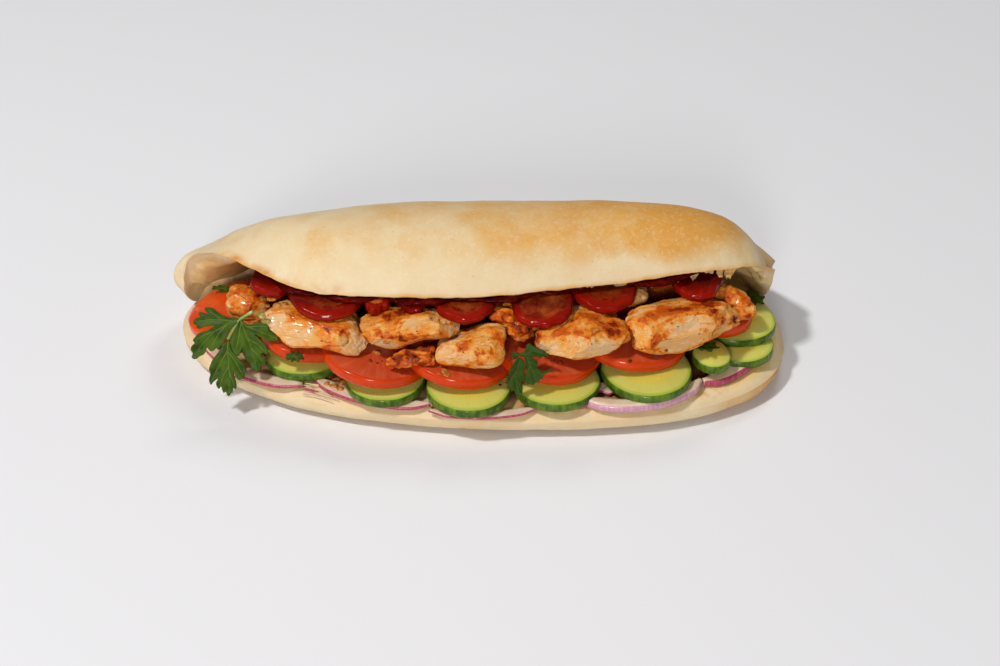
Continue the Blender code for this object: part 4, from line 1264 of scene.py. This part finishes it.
def chickenLook():
    look, tree, shader = newMaterial("grilledChicken")
    place = objectPlace(tree)
    sear, glaze, facet, fold = (attribute(tree, name) for name in ("sear", "glaze", "facet", "fold"))
    outside = times(tree, minus(tree, 1.0, facet), 0.17)
    # creases take more marinade, and are darkened as painted shade with deep glaze and burnt colour
    creaseGlazeAndShade = times(tree, ramp(tree, fold, 0.0, -0.9), 0.28)
    # the marinade stays along the edges of a cut facet
    border = times(tree, ramp(tree, facet, 0.0, 0.3), ramp(tree, facet, 1.0, 0.6))
    lean = plus(tree, plus(tree, glaze, times(tree, border, 0.15)), plus(tree, outside, creaseGlazeAndShade))
    fibre = cloudy(tree, attribute(tree, "fibrePlace", "Vector"), 1.5, 4.0, 0.6)

    def marinade(size, edge, browning, offset):
        # a mask that follows the browned marks and runs along the fibres
        leaning = plus(tree, times(tree, minus(tree, fibre, 0.5), 0.35), offset)
        return patchy(tree, place, size, edge, plus(tree, times(tree, sear, browning), leaning))

    tone = marinade(110.0, 0.2, 0.44, minus(tree, lean, 0.04))
    oil = marinade(260.0, 0.10, 0.62, minus(tree, lean, 0.22))
    deep = marinade(340.0, 0.10, 0.44, minus(tree, times(tree, lean, 0.7), 0.32))
    burntAndCreaseShade = marinade(460.0, 0.07, 0.40, minus(tree, times(tree, creaseGlazeAndShade, 0.6), 0.42))
    char = marinade(520.0, 0.05, 0.34, -0.62)
    spice = patchy(tree, place, 760.0, 0.04, minus(tree, times(tree, lean, 0.4), 0.165))
    paint = chickenColours
    colour = painted(
        tree, blend(tree, tone, paint["pale"], paint["warm"]),
        (ramp(tree, fibre, 0.53, 0.62), 0.55, paint["white"]), (oil, 0.80, paint["glaze"]),
        (spice, 0.7, paint["deepGlaze"]), (deep, 0.85, paint["deepGlaze"]),
        (burntAndCreaseShade, 0.92, paint["sear"]), (char, 1, paint["char"]),
    )
    wet = patchy(tree, place, 420.0, 0.12, -0.09)
    height = plus(tree, grainy(tree, place, 380.0, 1100.0, 0.5), times(tree, fibre, 0.7))
    height = plus(tree, height, times(tree, cloudy(tree, place, 2300.0, 1.0), 0.45))
    feed(tree, shader, {
        "Base Color": colour, "Roughness": ramp(tree, wet, 0, 1, 0.42, 0.2),
        "Specular IOR Level": 0.12,
        "Coat Weight": ramp(tree, wet, 0, 1, 0.04, 0.75), "Coat Roughness": 0.07,
        "Subsurface Weight": 0.12, "Subsurface Radius": (1.0, 0.5, 0.25), "Subsurface Scale": 0.0006,
        "Normal": bumpy(tree, height, 0.85, 0.45 * mm),
    })
    return look


# parsley

parsley = {
    "thick": 0.5 * mm, "grid": 0.3 * mm, "rounding": 4, "lift": 0.6 * mm, "cup": 0.45 * mm,
    "droop": 2.2 * mm, "wave": 2.2 * mm, "ripple": 0.6 * mm, "reach": 20 * mm,
    "leaf": (0.065, 0.120, 0.005), "dark": (0.014, 0.034, 0.002), "vein": (0.17, 0.25, 0.03),
    "stem": (0.16, 0.26, 0.035), "stemEnd": (0.45, 0.50, 0.16),
}
# a ragged scrap of leaf, and its veins
scrapOutline = (
    (-7, 0), (-6.5, 2.5), (-4, 2), (-3, 4.5), (0, 3.2), (2.5, 5), (4, 2.6), (7, 3), (6.5, 0.2),
    (8, -2), (4.5, -2.4), (3, -4.8), (0.5, -3), (-2, -4.5), (-3.5, -2.2), (-6.5, -2.8),
)
scrapVeins = (((-6, 0), (0, 0.3), (7, -1)), ((-2, 0), (2, 3.6)), ((0, 0.2), (2.6, -3.6)))
# leaves: how much each lies in shade, and its leaflets as base x, y, z in mm, turn about the
# upright and lean back in degrees, size, then outline and veins in mm in the leaflet's own plane
leaflets = {
    "parsleyLeaf1": (0, (
        ((-106.2, -41.8, 36.6), 0, 56.5, 1, (
            (4.7, 3.3), (0.9, 3.7), (-2.5, 5), (-4.6, 6.2), (-6.3, 7.7), (-8, 8.2), (-9.7, 8), (-9.6, 6.9),
            (-8.6, 5.4), (-10.1, 5.7), (-11.8, 6.1), (-12.6, 5.4), (-12, 4.1), (-13.9, 3.6), (-14.9, 2.4),
            (-14.8, 1.2), (-13.4, 0.5), (-13.5, -0.5), (-11.6, -0.9), (-10.1, -0.1), (-7.6, 0.2),
            (-5.5, 0.4), (-7.6, -0.7), (-9.3, -1.8), (-12.2, -2.6), (-13.9, -3.9), (-15.2, -5.6),
            (-14.5, -6.9), (-15.6, -8.1), (-16, -9.8), (-15.2, -11.1), (-15.6, -12.8), (-14.8, -13.6),
            (-13.5, -13.4), (-12.2, -12.3), (-11, -11.9), (-9.9, -10.7), (-9.1, -8.8), (-8.4, -9.6),
            (-7.2, -10.4), (-5.9, -9.8), (-5, -8.8), (-4.2, -9.8), (-3.1, -8.1), (-2.1, -6.9),
            (-0.8, -4.7), (0.4, -2.2), (2.1, -0.1), (4.2, 1.8)), (
            ((4.7, 2.9), (0.9, 2), (-1.7, 0.3), (-5.5, -1.8), (-8.4, -4.3), (-12.2, -8.5)),
            ((-0.8, 0.7), (-4.2, -3.1), (-6.7, -7.7)),
            ((1.7, 2.6), (-2.5, 2.9), (-7.6, 3.1), (-12.6, 2.4)),
            ((-5.9, -2), (-9.7, -3.1), (-13.5, -5.2)), ((-2.9, 3), (-5.9, 5.4), (-8.4, 7.1)))),
        ((-107.9, -46.0, 30.6), 0, 56.5, 1, (
            (1.1, 0.7), (-0.8, -1.2), (-2.5, -3.8), (-4.6, -6.3), (-5.8, -8.8), (-6.3, -10.9),
            (-5.7, -12.6), (-6.3, -15.2), (-5.6, -17.3), (-4.6, -16), (-3.3, -14.9), (-2.3, -14.3),
            (-3.3, -16), (-3.3, -17.7), (-2.5, -19), (-1.4, -17.9), (-1, -19.4), (-0.4, -20.6),
            (0.5, -20.2), (1.1, -21.5), (2, -21.9), (2.6, -20.6), (3.4, -20.4), (3.7, -18.5), (4.7, -19.2),
            (5.1, -17.3), (4.7, -15.2), (3.9, -12.6), (4.1, -11.1), (5.1, -13.5), (6.6, -15.2),
            (7.5, -14.3), (8.1, -14.7), (8.9, -13.9), (8.7, -12.2), (9.6, -10.9), (9.1, -9.2), (7.7, -7.6),
            (6, -5.9), (4.3, -4.2), (3, -2.1), (2.4, 0.7)), (
            ((1.8, 0.9), (1.5, -3.3), (2, -7.6), (2.2, -13), (1.9, -19.4)),
            ((1.7, -2.5), (-0.8, -6.7), (-3.7, -11.8), (-5.2, -15.2)),
            ((1.8, -3.3), (4.3, -6.7), (7.2, -11.8)), ((2, -9.2), (-0.4, -13.5), (-1.8, -17.3)),
            ((2.2, -11.8), (3.4, -15.2), (4.1, -17.7)))),
        ((-102.6, -42.0, 36.4), 0, 56.5, 1, (
            (1.5, 3.6), (3.2, 2.1), (5.3, 1), (7.4, 1.7), (9.9, 2.2), (12.9, 1.9), (14.2, 1), (15.9, 0),
            (14.4, -0.2), (13.5, -1.1), (15, -1.9), (16.7, -3.6), (17.5, -4.9), (16.3, -5.7), (14.6, -5.7),
            (12.5, -5.3), (9.9, -4), (7.4, -2.6), (9.5, -4.7), (11.2, -6.6), (12.9, -8.7), (13, -11.4),
            (11.4, -10.8), (10.2, -10.9), (10.6, -12.5), (11.7, -13.8), (11.6, -15.6), (10.4, -14.9),
            (10, -16.7), (9.1, -18), (7.8, -18.4), (6.1, -17.3), (5.3, -15.4), (4, -13.8), (2.8, -11.6),
            (2.5, -8.9), (1.7, -10.8), (0.7, -12.2), (-0.8, -11.6), (-1.7, -10.2), (-3.1, -9.5),
            (-2.9, -6.8), (-1.9, -4), (-0.2, -1.1), (0.9, 1.9)), (
            ((1.5, 3.1), (4.5, 0.2), (8.3, -1.1), (12.5, -2.8), (16.3, -4.5)),
            ((4.9, 0.2), (9.1, 0.5), (13.3, 0.4)), ((1.9, 2.3), (3.6, -1.9), (5.7, -7.4), (7.8, -15.4)),
            ((4.9, -4.9), (8.7, -7), (11.6, -10)), ((1.9, 1.4), (1.1, -3.6), (-0.2, -9.1)),
            ((6.1, -8.7), (8.7, -11.6), (10.4, -14.2)))),
    )),
    "parsleyLeaf2": (0.65, (
        ((19.9, -63.6, 37.2), 0, 40, 1, (
            (-0.3, 3.9), (1.1, 4.6), (1.9, 3.9), (2.8, 3.3), (4, 3), (5.2, 2), (6.7, 1.7), (7.7, 0.7),
            (8.9, 0.3), (8.1, -0.7), (6.4, -0.7), (5.2, -1.7), (3.6, -0.8), (2.3, -1.2), (0.7, -0.9),
            (-1, -1.2), (-3.4, -0.6), (-5.5, -2.1), (-6.2, -0.8), (-5.9, 0.9), (-3.8, 0.7), (-1.4, 0.9)), (
            ((-0.5, -0.2), (1.5, 1.5), (4.8, 0.7), (7.7, 0)), ((-0.5, -0.2), (-3, 0), (-5.1, -0.6)))),
        ((19.4, -65.2, 35.6), 0, 66, 1, (
            (-0.3, 1.7), (1.6, 1.5), (3.2, 0.8), (4.5, -0.5), (4.7, -2), (4.3, -3.3), (5.7, -4), (7.1, -5),
            (9.4, -4.4), (11.1, -4.7), (9, -5.4), (7.1, -6.5), (7, -7.8), (5.7, -8.2), (4.9, -9.4),
            (3.8, -9.5), (2.9, -10.6), (1.7, -10), (0.5, -10.5), (-0.3, -9.1), (-1.5, -8.5), (-2.3, -6.9),
            (-1.3, -5.7), (0, -6), (0.1, -3.8), (-0.3, -1.2)), (
            ((0.4, 1.3), (1.2, -1.7), (2.4, -5), (3.7, -8.4)), ((1.4, -2.5), (0.4, -5.4), (0, -8.4)),
            ((2, -3.8), (4.1, -5), (6.1, -6.1), (9.4, -5)), ((0.9, -0.4), (2.8, -1.7), (4.1, -2.3)))),
        ((17.9, -66.0, 35.2), 0, 78, 1, (
            (-1.6, 2), (-3.1, 0.4), (-4.7, -2.1), (-5.7, -4.5), (-5.6, -6.3), (-6.3, -8.5), (-6.1, -10.3),
            (-6.5, -11.8), (-5.1, -11.7), (-4.5, -13.3), (-3.3, -12.6), (-2.6, -14.4), (-1.6, -15.7),
            (-1.1, -13.9), (-0.1, -14.2), (0.1, -11.9), (-0.6, -9.4), (0.5, -7.4), (0.4, -4.9), (1, -2.3),
            (0.5, 0.6)), (
            ((-1, 1.3), (-2.2, -2.7), (-3.1, -7.2), (-2, -13.5)),
            ((-2.4, -3.6), (-4.5, -7.2), (-5.6, -10.8)), ((-2.9, -7.6), (-1.4, -9.9), (-0.4, -13)))),
    )),
    "parsleyLeaf3": (0.6, (((94.5, -46, 29.2), 8, -6, 0.85, scrapOutline, scrapVeins),)),
    "parsleyLeaf4": (0.3, (((120.5, -3, 26.5), -25, 15, 0.8, scrapOutline, scrapVeins),)),
    "parsleyLeaf5": (0, (((-115, 2, 28), 0, -10, 0.7, scrapOutline, scrapVeins),)),
    "parsleyLeaf6": (0.5, (((-78, -49.5, 26.5), 0, 50, 0.5, scrapOutline, scrapVeins),)),
}
# stems of the large leaf, from the cut end of the longest one: points in mm and radius
stemRuns = (
    (((-95.7, -38.3, 42.0), (-99.5, -39.6, 40.2), (-101.6, -40.3, 38.9), (-103.6, -42.2, 36.0),
      (-106.2, -45.2, 32.4)), 0.75),
    (((-101.6, -40.3, 38.9), (-104.5, -41.3, 37.6)), 0.45),
    (((-101.6, -40.3, 38.9), (-101.0, -41.5, 37.4)), 0.45),
)


def rounded(points):
    # the outline through its points, with its corners a little rounded
    points = [Vector((x, y, 0)) * mm for x, y in points]
    number, cuts = len(points), parsley["rounding"]
    made = []
    for i, start in enumerate(points):
        before, end, after = points[i - 1], points[(i + 1) % number], points[(i + 2) % number]
        bend = 2 * before - 5 * start + 4 * end - after
        twist = 3 * start - before - 3 * end + after
        for k in range(cuts):
            t = k / cuts
            made.append(0.5 * (2 * start + (end - before) * t + bend * t**2 + twist * t**3))
    return made


def fromSegment(point, start, end):
    # how far a point is from a line, and where along it
    along = end - start
    share = clamp((point - start).dot(along) / along.length_squared)
    return (point - start - along * share).length, share


def leafSheet(points):
    # a fine grid cut to the leaflet's outline
    rim = rounded(points)
    sides = list(zip(rim, rim[1:] + rim[:1]))
    low = Vector((min(point.x for point in rim), min(point.y for point in rim), 0))
    high = Vector((max(point.x for point in rim), max(point.y for point in rim), 0))
    half = max(high - low) / 2 + parsley["grid"]
    number = round(2 * half / parsley["grid"])
    shape = bmesh.new()
    bmesh.ops.create_grid(shape, x_segments=number, y_segments=number, size=half)
    bmesh.ops.translate(shape, verts=shape.verts, vec=(low + high) / 2)

    def inside(point):
        crossings = 0
        for start, end in sides:
            if (start.y > point.y) != (end.y > point.y):
                slope = (end.x - start.x) / (end.y - start.y)
                crossings += point.x < start.x + (point.y - start.y) * slope
        return crossings % 2 == 1

    outside = [face for face in shape.faces if not inside(face.calc_center_median())]
    bmesh.ops.delete(shape, geom=outside, context="FACES")
    for vertex in shape.verts:
        if vertex.is_boundary:
            spots = [start + (end - start) * fromSegment(vertex.co, start, end)[1] for start, end in sides]
            vertex.co = min(spots, key=lambda spot: (spot - vertex.co).length)
    bmesh.ops.remove_doubles(shape, verts=shape.verts, dist=0.02 * mm)
    return shape


def makeParsley():
    print("parsley")
    look = parsleyLook()
    for name, (shade, sprays) in leaflets.items():
        whole = bmesh.new()
        newLayers(whole, "vein", "shaded")
        for k, (base, turn, lean, size, points, veins) in enumerate(sprays):
            shape = leafSheet([(x * size, y * size) for x, y in points])
            layers = newLayers(shape, "vein", "shaded")
            place = Matrix.Translation(Vector(base) * mm) @ Matrix.Rotation(radians(turn), 4, "Z")
            place @= Matrix.Rotation(radians(lean), 4, "X")
            runs = []
            for vein in veins:
                line = [Vector((x, y, 0)) * size * mm for x, y in vein]
                runs += [(start, end, i / len(vein)) for i, (start, end) in enumerate(zip(line, line[1:]))]
            foot = runs[0][0]
            for vertex in shape.verts:
                flat = vertex.co.copy()
                near, way = min((fromSegment(flat, start, end)[0], way) for start, end, way in runs)
                vertex[layers["shaded"]] = shade
                vertex[layers["vein"]] = max(0, 1 - near / (mix(0.6, 0.3, way) * mm))
                share = clamp((flat - foot).length / parsley["reach"])
                wave = swaySum(flat, (parsley["wave"], 8 * mm, k + 3), (parsley["ripple"], 3 * mm, k))
                lift = parsley["lift"] + parsley["cup"] * rise(near, 0, 2 * mm)
                lift += wave * share - parsley["droop"] * share**2
                vertex.co = place @ (flat + Vector((0, 0, lift)))
            leaf = bpy.data.meshes.new("leaflet")
            shape.to_mesh(leaf)
            shape.free()
            whole.from_mesh(leaf)
            bpy.data.meshes.remove(leaf)
        thicken(whole, parsley["thick"])
        finishPiece(name, whole, look, "parsley", name.replace("Leaf", "_"))
    makeStems()


def makeStems():
    runs = [([[part * mm for part in place] for place in points], radius * mm, [1] * len(points))
            for points, radius in stemRuns]
    whole = strands(runs, 3, 8)
    cutEnd = Vector(stemRuns[0][0][0])
    layers = newLayers(whole, "cutEnd")
    for vertex in whole.verts:
        vertex[layers["cutEnd"]] = rise((vertex.co / mm - cutEnd).length, 3.5, 0)
    finishPiece("parsleyStems", whole, stemLook(), "parsley")


def parsleyLook():
    look, tree, shader = newMaterial("parsleyLeaf")
    place = objectPlace(tree)
    vein = attribute(tree, "vein")
    cloud = patchy(tree, place, 140.0, 0.3)
    colour = painted(tree, blend(tree, cloud, parsley["dark"], parsley["leaf"]),
                     (ramp(tree, vein, 0.25, 0.95), 0.38, parsley["vein"]),
                     (attribute(tree, "shaded"), 1, parsley["dark"]))
    height = plus(tree, times(tree, ramp(tree, vein, 0.1, 0.8), -0.8),
                  grainy(tree, place, 700.0, 2000.0, 0.4))
    feed(tree, shader, {
        "Base Color": colour, "Roughness": ramp(tree, cloud, 0, 1, 0.36, 0.5),
        "Specular IOR Level": 0.12, "Normal": bumpy(tree, height, 0.5, 0.3 * mm),
    })
    return look


def stemLook():
    look, tree, shader = newMaterial("parsleyStem")
    cloud = patchy(tree, objectPlace(tree), 300.0, 0.3)
    colour = painted(tree, blend(tree, cloud, parsley["stem"], parsley["vein"]),
                     (attribute(tree, "cutEnd"), 1, parsley["stemEnd"]))
    feed(tree, shader, {"Base Color": colour, "Roughness": 0.4})
    return look


# sauce under the lip, its dark reds also painted shade in the hollow under the lip

sauceAndShade = {
    # in mm: where it starts and ends, how far it comes ahead of the lip and goes in behind it,
    # how far it sinks below the lip and swells
    "from": -97, "to": 100, "ahead": 2.6, "behind": 24, "sink": 2.1, "swell": 1.3,
    # it stands back where pulp shows, as x, reach and depth, and all along this gap
    "bare": ((-66, 7, 3.5), (-41, 5, 4), (-6, 8, 4), (27, 8, 4.5), (54, 6, 3)),
    "gap": ((30, 46), (72, 62)), "gapDepth": 5,
    "edgeWaves": ((1.6, 7, 1), (0.8, 2.5, 2)), "lumps": ((0.9, 5, 3), (0.5, 2, 4)), "endsBack": 6,
    "columns": 300, "rows": 26, "thick": 1.2 * mm,
    # its two dark reds stand for sauce and for painted shade under the lip
    "dark": (0.026, 0.001, 0.0003), "red": (0.11, 0.003, 0.0005),
}


def makeSauceAndShade():
    print("sauceAndShade")
    shape = bmesh.new()
    bmesh.ops.create_grid(shape, x_segments=sauceAndShade["columns"], y_segments=sauceAndShade["rows"], size=1)
    for vertex in shape.verts:
        along, back = (vertex.co.x + 1) / 2, (vertex.co.y + 1) / 2
        x = mix(sauceAndShade["from"], sauceAndShade["to"], along)
        lipY, lipZ = lipAt(x * mm)
        ahead = sauceAndShade["ahead"] + swaySum((x, 0, 0), *sauceAndShade["edgeWaves"])
        ahead -= max(depth * bell(x - at, reach) for at, reach, depth in sauceAndShade["bare"])
        gapLeft, gapRight = sauceAndShade["gap"]
        ahead -= sauceAndShade["gapDepth"] * rise(x, *gapLeft) * rise(x, *gapRight)
        ends = smoothStep(min(along, 1 - along) * 10)
        y = mix(-ahead + sauceAndShade["endsBack"] * (1 - ends), sauceAndShade["behind"], back**1.6)
        lumps = swaySum((x, y, 0), *sauceAndShade["lumps"])
        swell = sauceAndShade["swell"] * sqrt(clamp(back * 9)) + lumps * clamp(back * 9)
        vertex.co = Vector((x, y, swell * ends - sauceAndShade["sink"])) * mm + Vector((0, lipY, lipZ))
    thicken(shape, sauceAndShade["thick"])
    look, tree, shader = newMaterial("redSauceAndShade")
    cloud = patchy(tree, objectPlace(tree), 160.0, 0.2, -0.02)
    feed(tree, shader, {
        "Base Color": blend(tree, cloud, sauceAndShade["dark"], sauceAndShade["red"]),
        "Roughness": ramp(tree, cloud, 0, 1, 0.22, 0.12), "Specular IOR Level": 0.03,
        "Coat Weight": 0.02, "Coat Roughness": 0.03,
    })
    finishPiece("sauceAndShade", shape, look, "sauced_tomato")


# small bits of juice jelly, olive-green pulp and seasoning: x, y, z and radius in mm

bits = {
    "juiceBits": {
        "colour": (0.36, 0.1, 0.012), "other": (0.55, 0.24, 0.05), "slot": "sauced_tomato",
        "places": (
            (-64.3, -43.6, 12, 1.8), (-61.6, -45.9, 12, 2), (-58.4, -48.1, 12, 1.8),
            (-61.7, -53.6, 14.3, 1.7), (-59, -55.8, 14.3, 1.5), (-62.4, -50.4, 12.6, 1.7),
            (-64.8, -52.1, 14.3, 1.2), (-92.5, -25.9, 41, 1.6), (-88.6, -31.5, 42.4, 1.6),
            (-85.7, -35.4, 43.9, 1.5), (-82.7, -34.9, 44.1, 1.4), (-90.9, -26.9, 38, 1.3),
            (-95.2, -30.7, 32.8, 1.4), (-14.5, -63.4, 28.9, 1.5), (-13.2, -66, 28.7, 1.3),
            (-16.1, -65.9, 29.1, 1), (48.2, -56.4, 44.6, 1.4), (65.1, -29, 39.4, 1.5),
            (-42.8, -48, 27.9, 1.4), (-38.5, -58.3, 38.4, 1.3),
        ),
    },
    "oliveBits": {
        "colour": (0.22, 0.14, 0.02), "other": (0.4, 0.3, 0.08), "slot": "sauced_tomato",
        "places": (
            (-91.7, -39.8, 41.2, 2.2), (-89.5, -43.4, 41.5, 1.6),
        ),
    },
    "seasoning": {
        "colour": (0.34, 0.05, 0.003), "other": (0.11, 0.016, 0.002), "slot": "grilled_chicken",
        "places": (
            (-35.9, -59.8, 26.9, 0.8), (-34.2, -60.9, 26.6, 0.6), (-32.1, -61.9, 26.3, 0.7),
            (33.8, -54.3, 27.2, 1), (35, -55.5, 27, 0.8), (31.3, -54.1, 27.5, 0.7),
            (-45.7, -55.3, 28.4, 0.9), (-42.7, -56.2, 27.9, 0.8), (-40.8, -54.3, 27.6, 0.6),
            (-52.8, -54.8, 38.6, 0.5), (-57.3, -53.8, 40.4, 0.5), (-70.5, -49.7, 42.2, 0.5),
            (-76.2, -50.9, 41, 0.4), (-66, -55.3, 38.9, 0.5), (-32.7, -52.4, 45.9, 0.5),
            (-25.5, -57.2, 46.1, 0.5), (-19.9, -50.4, 46.6, 0.5), (-3.7, -58.5, 41, 0.5),
            (-6.5, -63.5, 38.4, 0.5), (-0.3, -64, 40.7, 0.5), (4.1, -58.2, 41.8, 0.4),
            (33.4, -59, 41.3, 0.5), (38.6, -63.2, 41.7, 0.4), (50.2, -49.9, 44.3, 0.5),
            (46, -63.1, 42.1, 0.5), (70.7, -55.6, 41.6, 0.5), (78.2, -55.7, 40.1, 0.4),
            (83.7, -52.1, 43.8, 0.5), (66.8, -56.8, 34.9, 0.5), (92.3, -53, 38.4, 0.5),
            (8.7, -59.8, 19.2, 0.8), (11.2, -57.6, 19.2, 0.7), (78.6, -55.6, 33.1, 1),
            (62.8, -57.8, 29.5, 1),
        ),
    },
}


# how rough, flat and large the bits are made; smaller ones than "fine" are shrunk a little more
bitShape = {"rough": 0.9, "roughSize": 1.1, "flat": 0.5, "fine": 0.9, "fineScale": 0.75}


def settled(point):
    # the nearest spot on any finished piece
    spots = [piece.closest_point_on_mesh(point)[:2] for piece in finished]
    return min((spot for found, spot in spots if found), key=lambda spot: (spot - point).length)


def makeBits():
    print("small bits")
    bpy.context.view_layer.update()
    # all find their places before any is made, so that none lies on another
    spots = {name: [settled(Vector(place[:3]) * mm) for place in kind["places"]]
             for name, kind in bits.items()}
    for name, kind in bits.items():
        whole = bmesh.new()
        for (x, y, z, radius), spot in zip(kind["places"], spots[name]):
            made = bmesh.ops.create_icosphere(whole, subdivisions=3 if radius > 1 else 2,
                                              radius=radius * mm)
            for vertex in made["verts"]:
                place = vertex.co + Vector((x, y, z))
                rough = 1 + bitShape["rough"] * sway(place, bitShape["roughSize"] * radius * mm, z)
                vertex.co *= rough * (bitShape["fineScale"] if radius < bitShape["fine"] else 1)
                vertex.co.z *= bitShape["flat"]
                vertex.co += spot
        look, tree, shader = newMaterial(name)
        cloud = patchy(tree, objectPlace(tree), 500.0, 0.15)
        feed(tree, shader, {
            "Base Color": blend(tree, cloud, kind["colour"], kind["other"]),
            "Roughness": ramp(tree, cloud, 0, 1, 0.12, 0.25), "Specular IOR Level": 0.25,
            "Coat Weight": 0.2, "Coat Roughness": 0.04,
        })
        finishPiece(name, whole, look, kind["slot"])


makeStage()
makeBread()
makeTornCrumb()
makeSlices()
makeSauceAndShade()
makeOnions()
makeOnionThreads()
makeChicken()
makeParsley()
makeBits()
